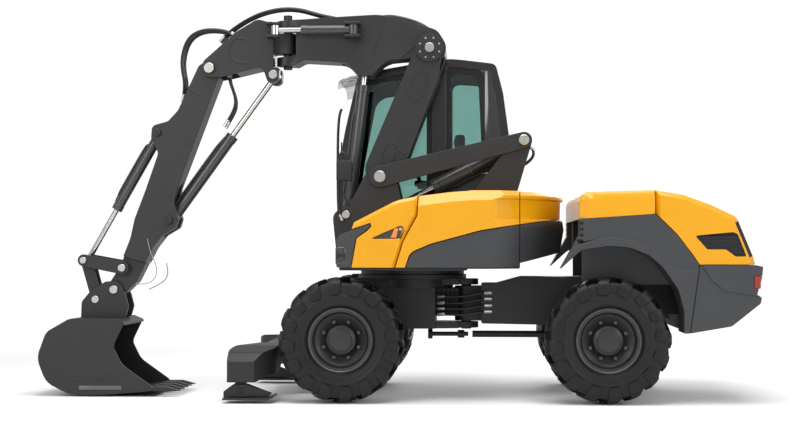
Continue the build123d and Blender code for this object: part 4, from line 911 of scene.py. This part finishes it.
LEFT, RIGHT, BACK, UP = Vector((0, -1, 0)), Vector((0, 1, 0)), Vector((1, 0, 0)), Vector((0, 0, 1))
display = rounded_box((-985, 800, 1930), (-950, 1000, 2080), 0.010, BACK, 0.010)
stalk = rod_along([place(-970, 900, 1940), place(-990, 920, 1800), place(-1000, 960, 1600)], 0.012)
joined([display, stalk], "display", trim_plastic, "upper")
consoles = [rounded_box((-1100, 160, 1240), (-1010, 1000, 1420), 0.02, UP, 0.010),
            rounded_box((60, 150, 1240), (330, 1030, 1640), 0.03, UP, 0.020)]
joined(consoles, "cab_consoles", trim_plastic, "upper")
rail = rod_along([place(-1225, 130, 1500), place(-1262, 130, 1540), place(-1262, 130, 2100),
                  place(-1262, 130, 2560), place(-1225, 130, 2600)], 0.013)
rail_right = rod_along([place(-1190, 1128, 1320), place(-1190, 1138, 1350), place(-1190, 1138, 1900),
                        place(-1190, 1128, 1930)], 0.011)
joined([rail, rail_right], "hand_rails", cab_paint, "upper")
visor_film = glazing.copy()
visor_film.name = "visor_film"
tints = visor_film.node_tree.nodes["Color Ramp"].color_ramp.elements
tints[0].color = (0.50, 0.50, 0.50, 1)
tints[1].color = (0.60, 0.60, 0.60, 1)
bpy.ops.object.select_all(action="DESELECT")
bpy.ops.mesh.primitive_grid_add(x_subdivisions=10, y_subdivisions=24, size=2, location=(0, 0, 0))
visor = bpy.context.object
for vertex in visor.data.vertices:
    across, ahead = vertex.co.y, (vertex.co.x + 1) / 2
    droop = 95 * max(0, abs(across) - 0.80) / 0.20
    ripple_up = 7 * sin(9 * across + 4 * ahead) + 4 * sin(17 * ahead)
    side = 480 * min(1, abs(across) / 0.9) * (1 if across > 0 else -1)
    vertex.co = place(-1050 - 205 * ahead, 560 + side, 2925 - 62 * ahead - droop + ripple_up * (0.3 + ahead))
thicken(visor, 0.003)
bpy.ops.object.shade_smooth_by_angle(angle=radians(40))
settle(visor, "sun_visor", visor_film, "upper")
mirror_shell = rounded_box((-1225, -432, 1912), (-1085, -380, 2098), 0.016, RIGHT, 0.006)
mirror_arm = rod_along([place(-1205, -395, 1925), place(-1190, -395, 1860), place(-1160, -400, 1790),
                        place(-1120, -396, 1700)], 0.011)
joined([mirror_shell, mirror_arm], "left_mirror", trim_plastic, "upper")
handle = rounded_box((-440, 1124, 1830), (-380, 1140, 1990), 0.006, RIGHT, 0.008)
settle(handle, "door_handle", trim_plastic, "door")
wiper_arm = rod_along([place(-1262, 600, 1480), place(-1268, 560, 1700), place(-1268, 500, 2050)], 0.006)
wiper_blade = rod_along([place(-1262, 490, 1800), place(-1266, 505, 2050), place(-1262, 520, 2320)], 0.007)
joined([wiper_arm, wiper_blade], "wiper", trim_plastic, "upper")


# ------------------------------------------------------------------ lamps, reflectors and locks
# Moulded lenses over chromed bowls, an amber side reflector and a round lock in the recess of
# the front cover, and a work lamp in the left front corner of the skirt.
lens_black = paint("lens_black", (0.006, 0.006, 0.008), 0.08, coat=1.0)
amber = paint("amber", (0.85, 0.22, 0.015), 0.18, coat=1.0, tone=0.15)
lamp_glass = rounded_box((-1168, -1132, 1168), (-1072, -1050, 1330), 0.024, LEFT, 0.010)
settle(lamp_glass, "corner_lamp_left", lens_black, "upper")
bowls = [turned_cap(place(-1120, -1129, z), -1, 0.024, 0.005) for z in (1215, 1285)]
joined(bowls, "corner_lamp_bowls_left", barrel_paint, "upper")
insert = plate(((-858, 1394), (-628, 1394), (-590, 1500), (-640, 1500)), -1119)
bpy.ops.mesh.bevel(offset=0.010, segments=3, affect="VERTICES")
bpy.ops.mesh.select_all(action="SELECT")
bpy.ops.mesh.inset(thickness=0.004, depth=0.002)
bpy.ops.object.mode_set(mode="OBJECT")
thicken(insert, 0.003)
settle(insert, "recess_insert", panel_paint, "upper")
reflector = plate(((-700, 1402), (-655, 1402), (-635, 1480), (-668, 1480)), -1123)
bpy.ops.mesh.inset(thickness=0.006, depth=0.003)
bpy.ops.object.mode_set(mode="OBJECT")
thicken(reflector, 0.005)
settle(reflector, "amber_reflector", amber, "upper")
joined([turned_cap(place(-616, -1121, 1474), -1, 0.014, 0.005)], "cover_lock", zinc, "upper")


# ------------------------------------------------------------------ bucket wear parts
# Hard steel wear strips and side cutters welded on the shell, whose paint is rubbed bright
# along the digging edge.
worn_steel = paint("worn_steel", (0.16, 0.155, 0.15), 0.40, tone=0.35, metallic=0.7)
bead("bucket_side_weld", "bucket", (-560, 240), 0.007, (-3564, 165), (-3470, 142), (-3358, 139),
     (-3270, 160), (-3205, 193))
strips = []
for face in (-560, 240):
    side = LEFT if face < 0 else RIGHT
    strips.append(rounded_box((-3500, face - 6, 60), (-3120, face + 6, 96), 0.003, side, 0.006))
joined(strips, "bucket_wear_strips", worn_steel, "bucket")
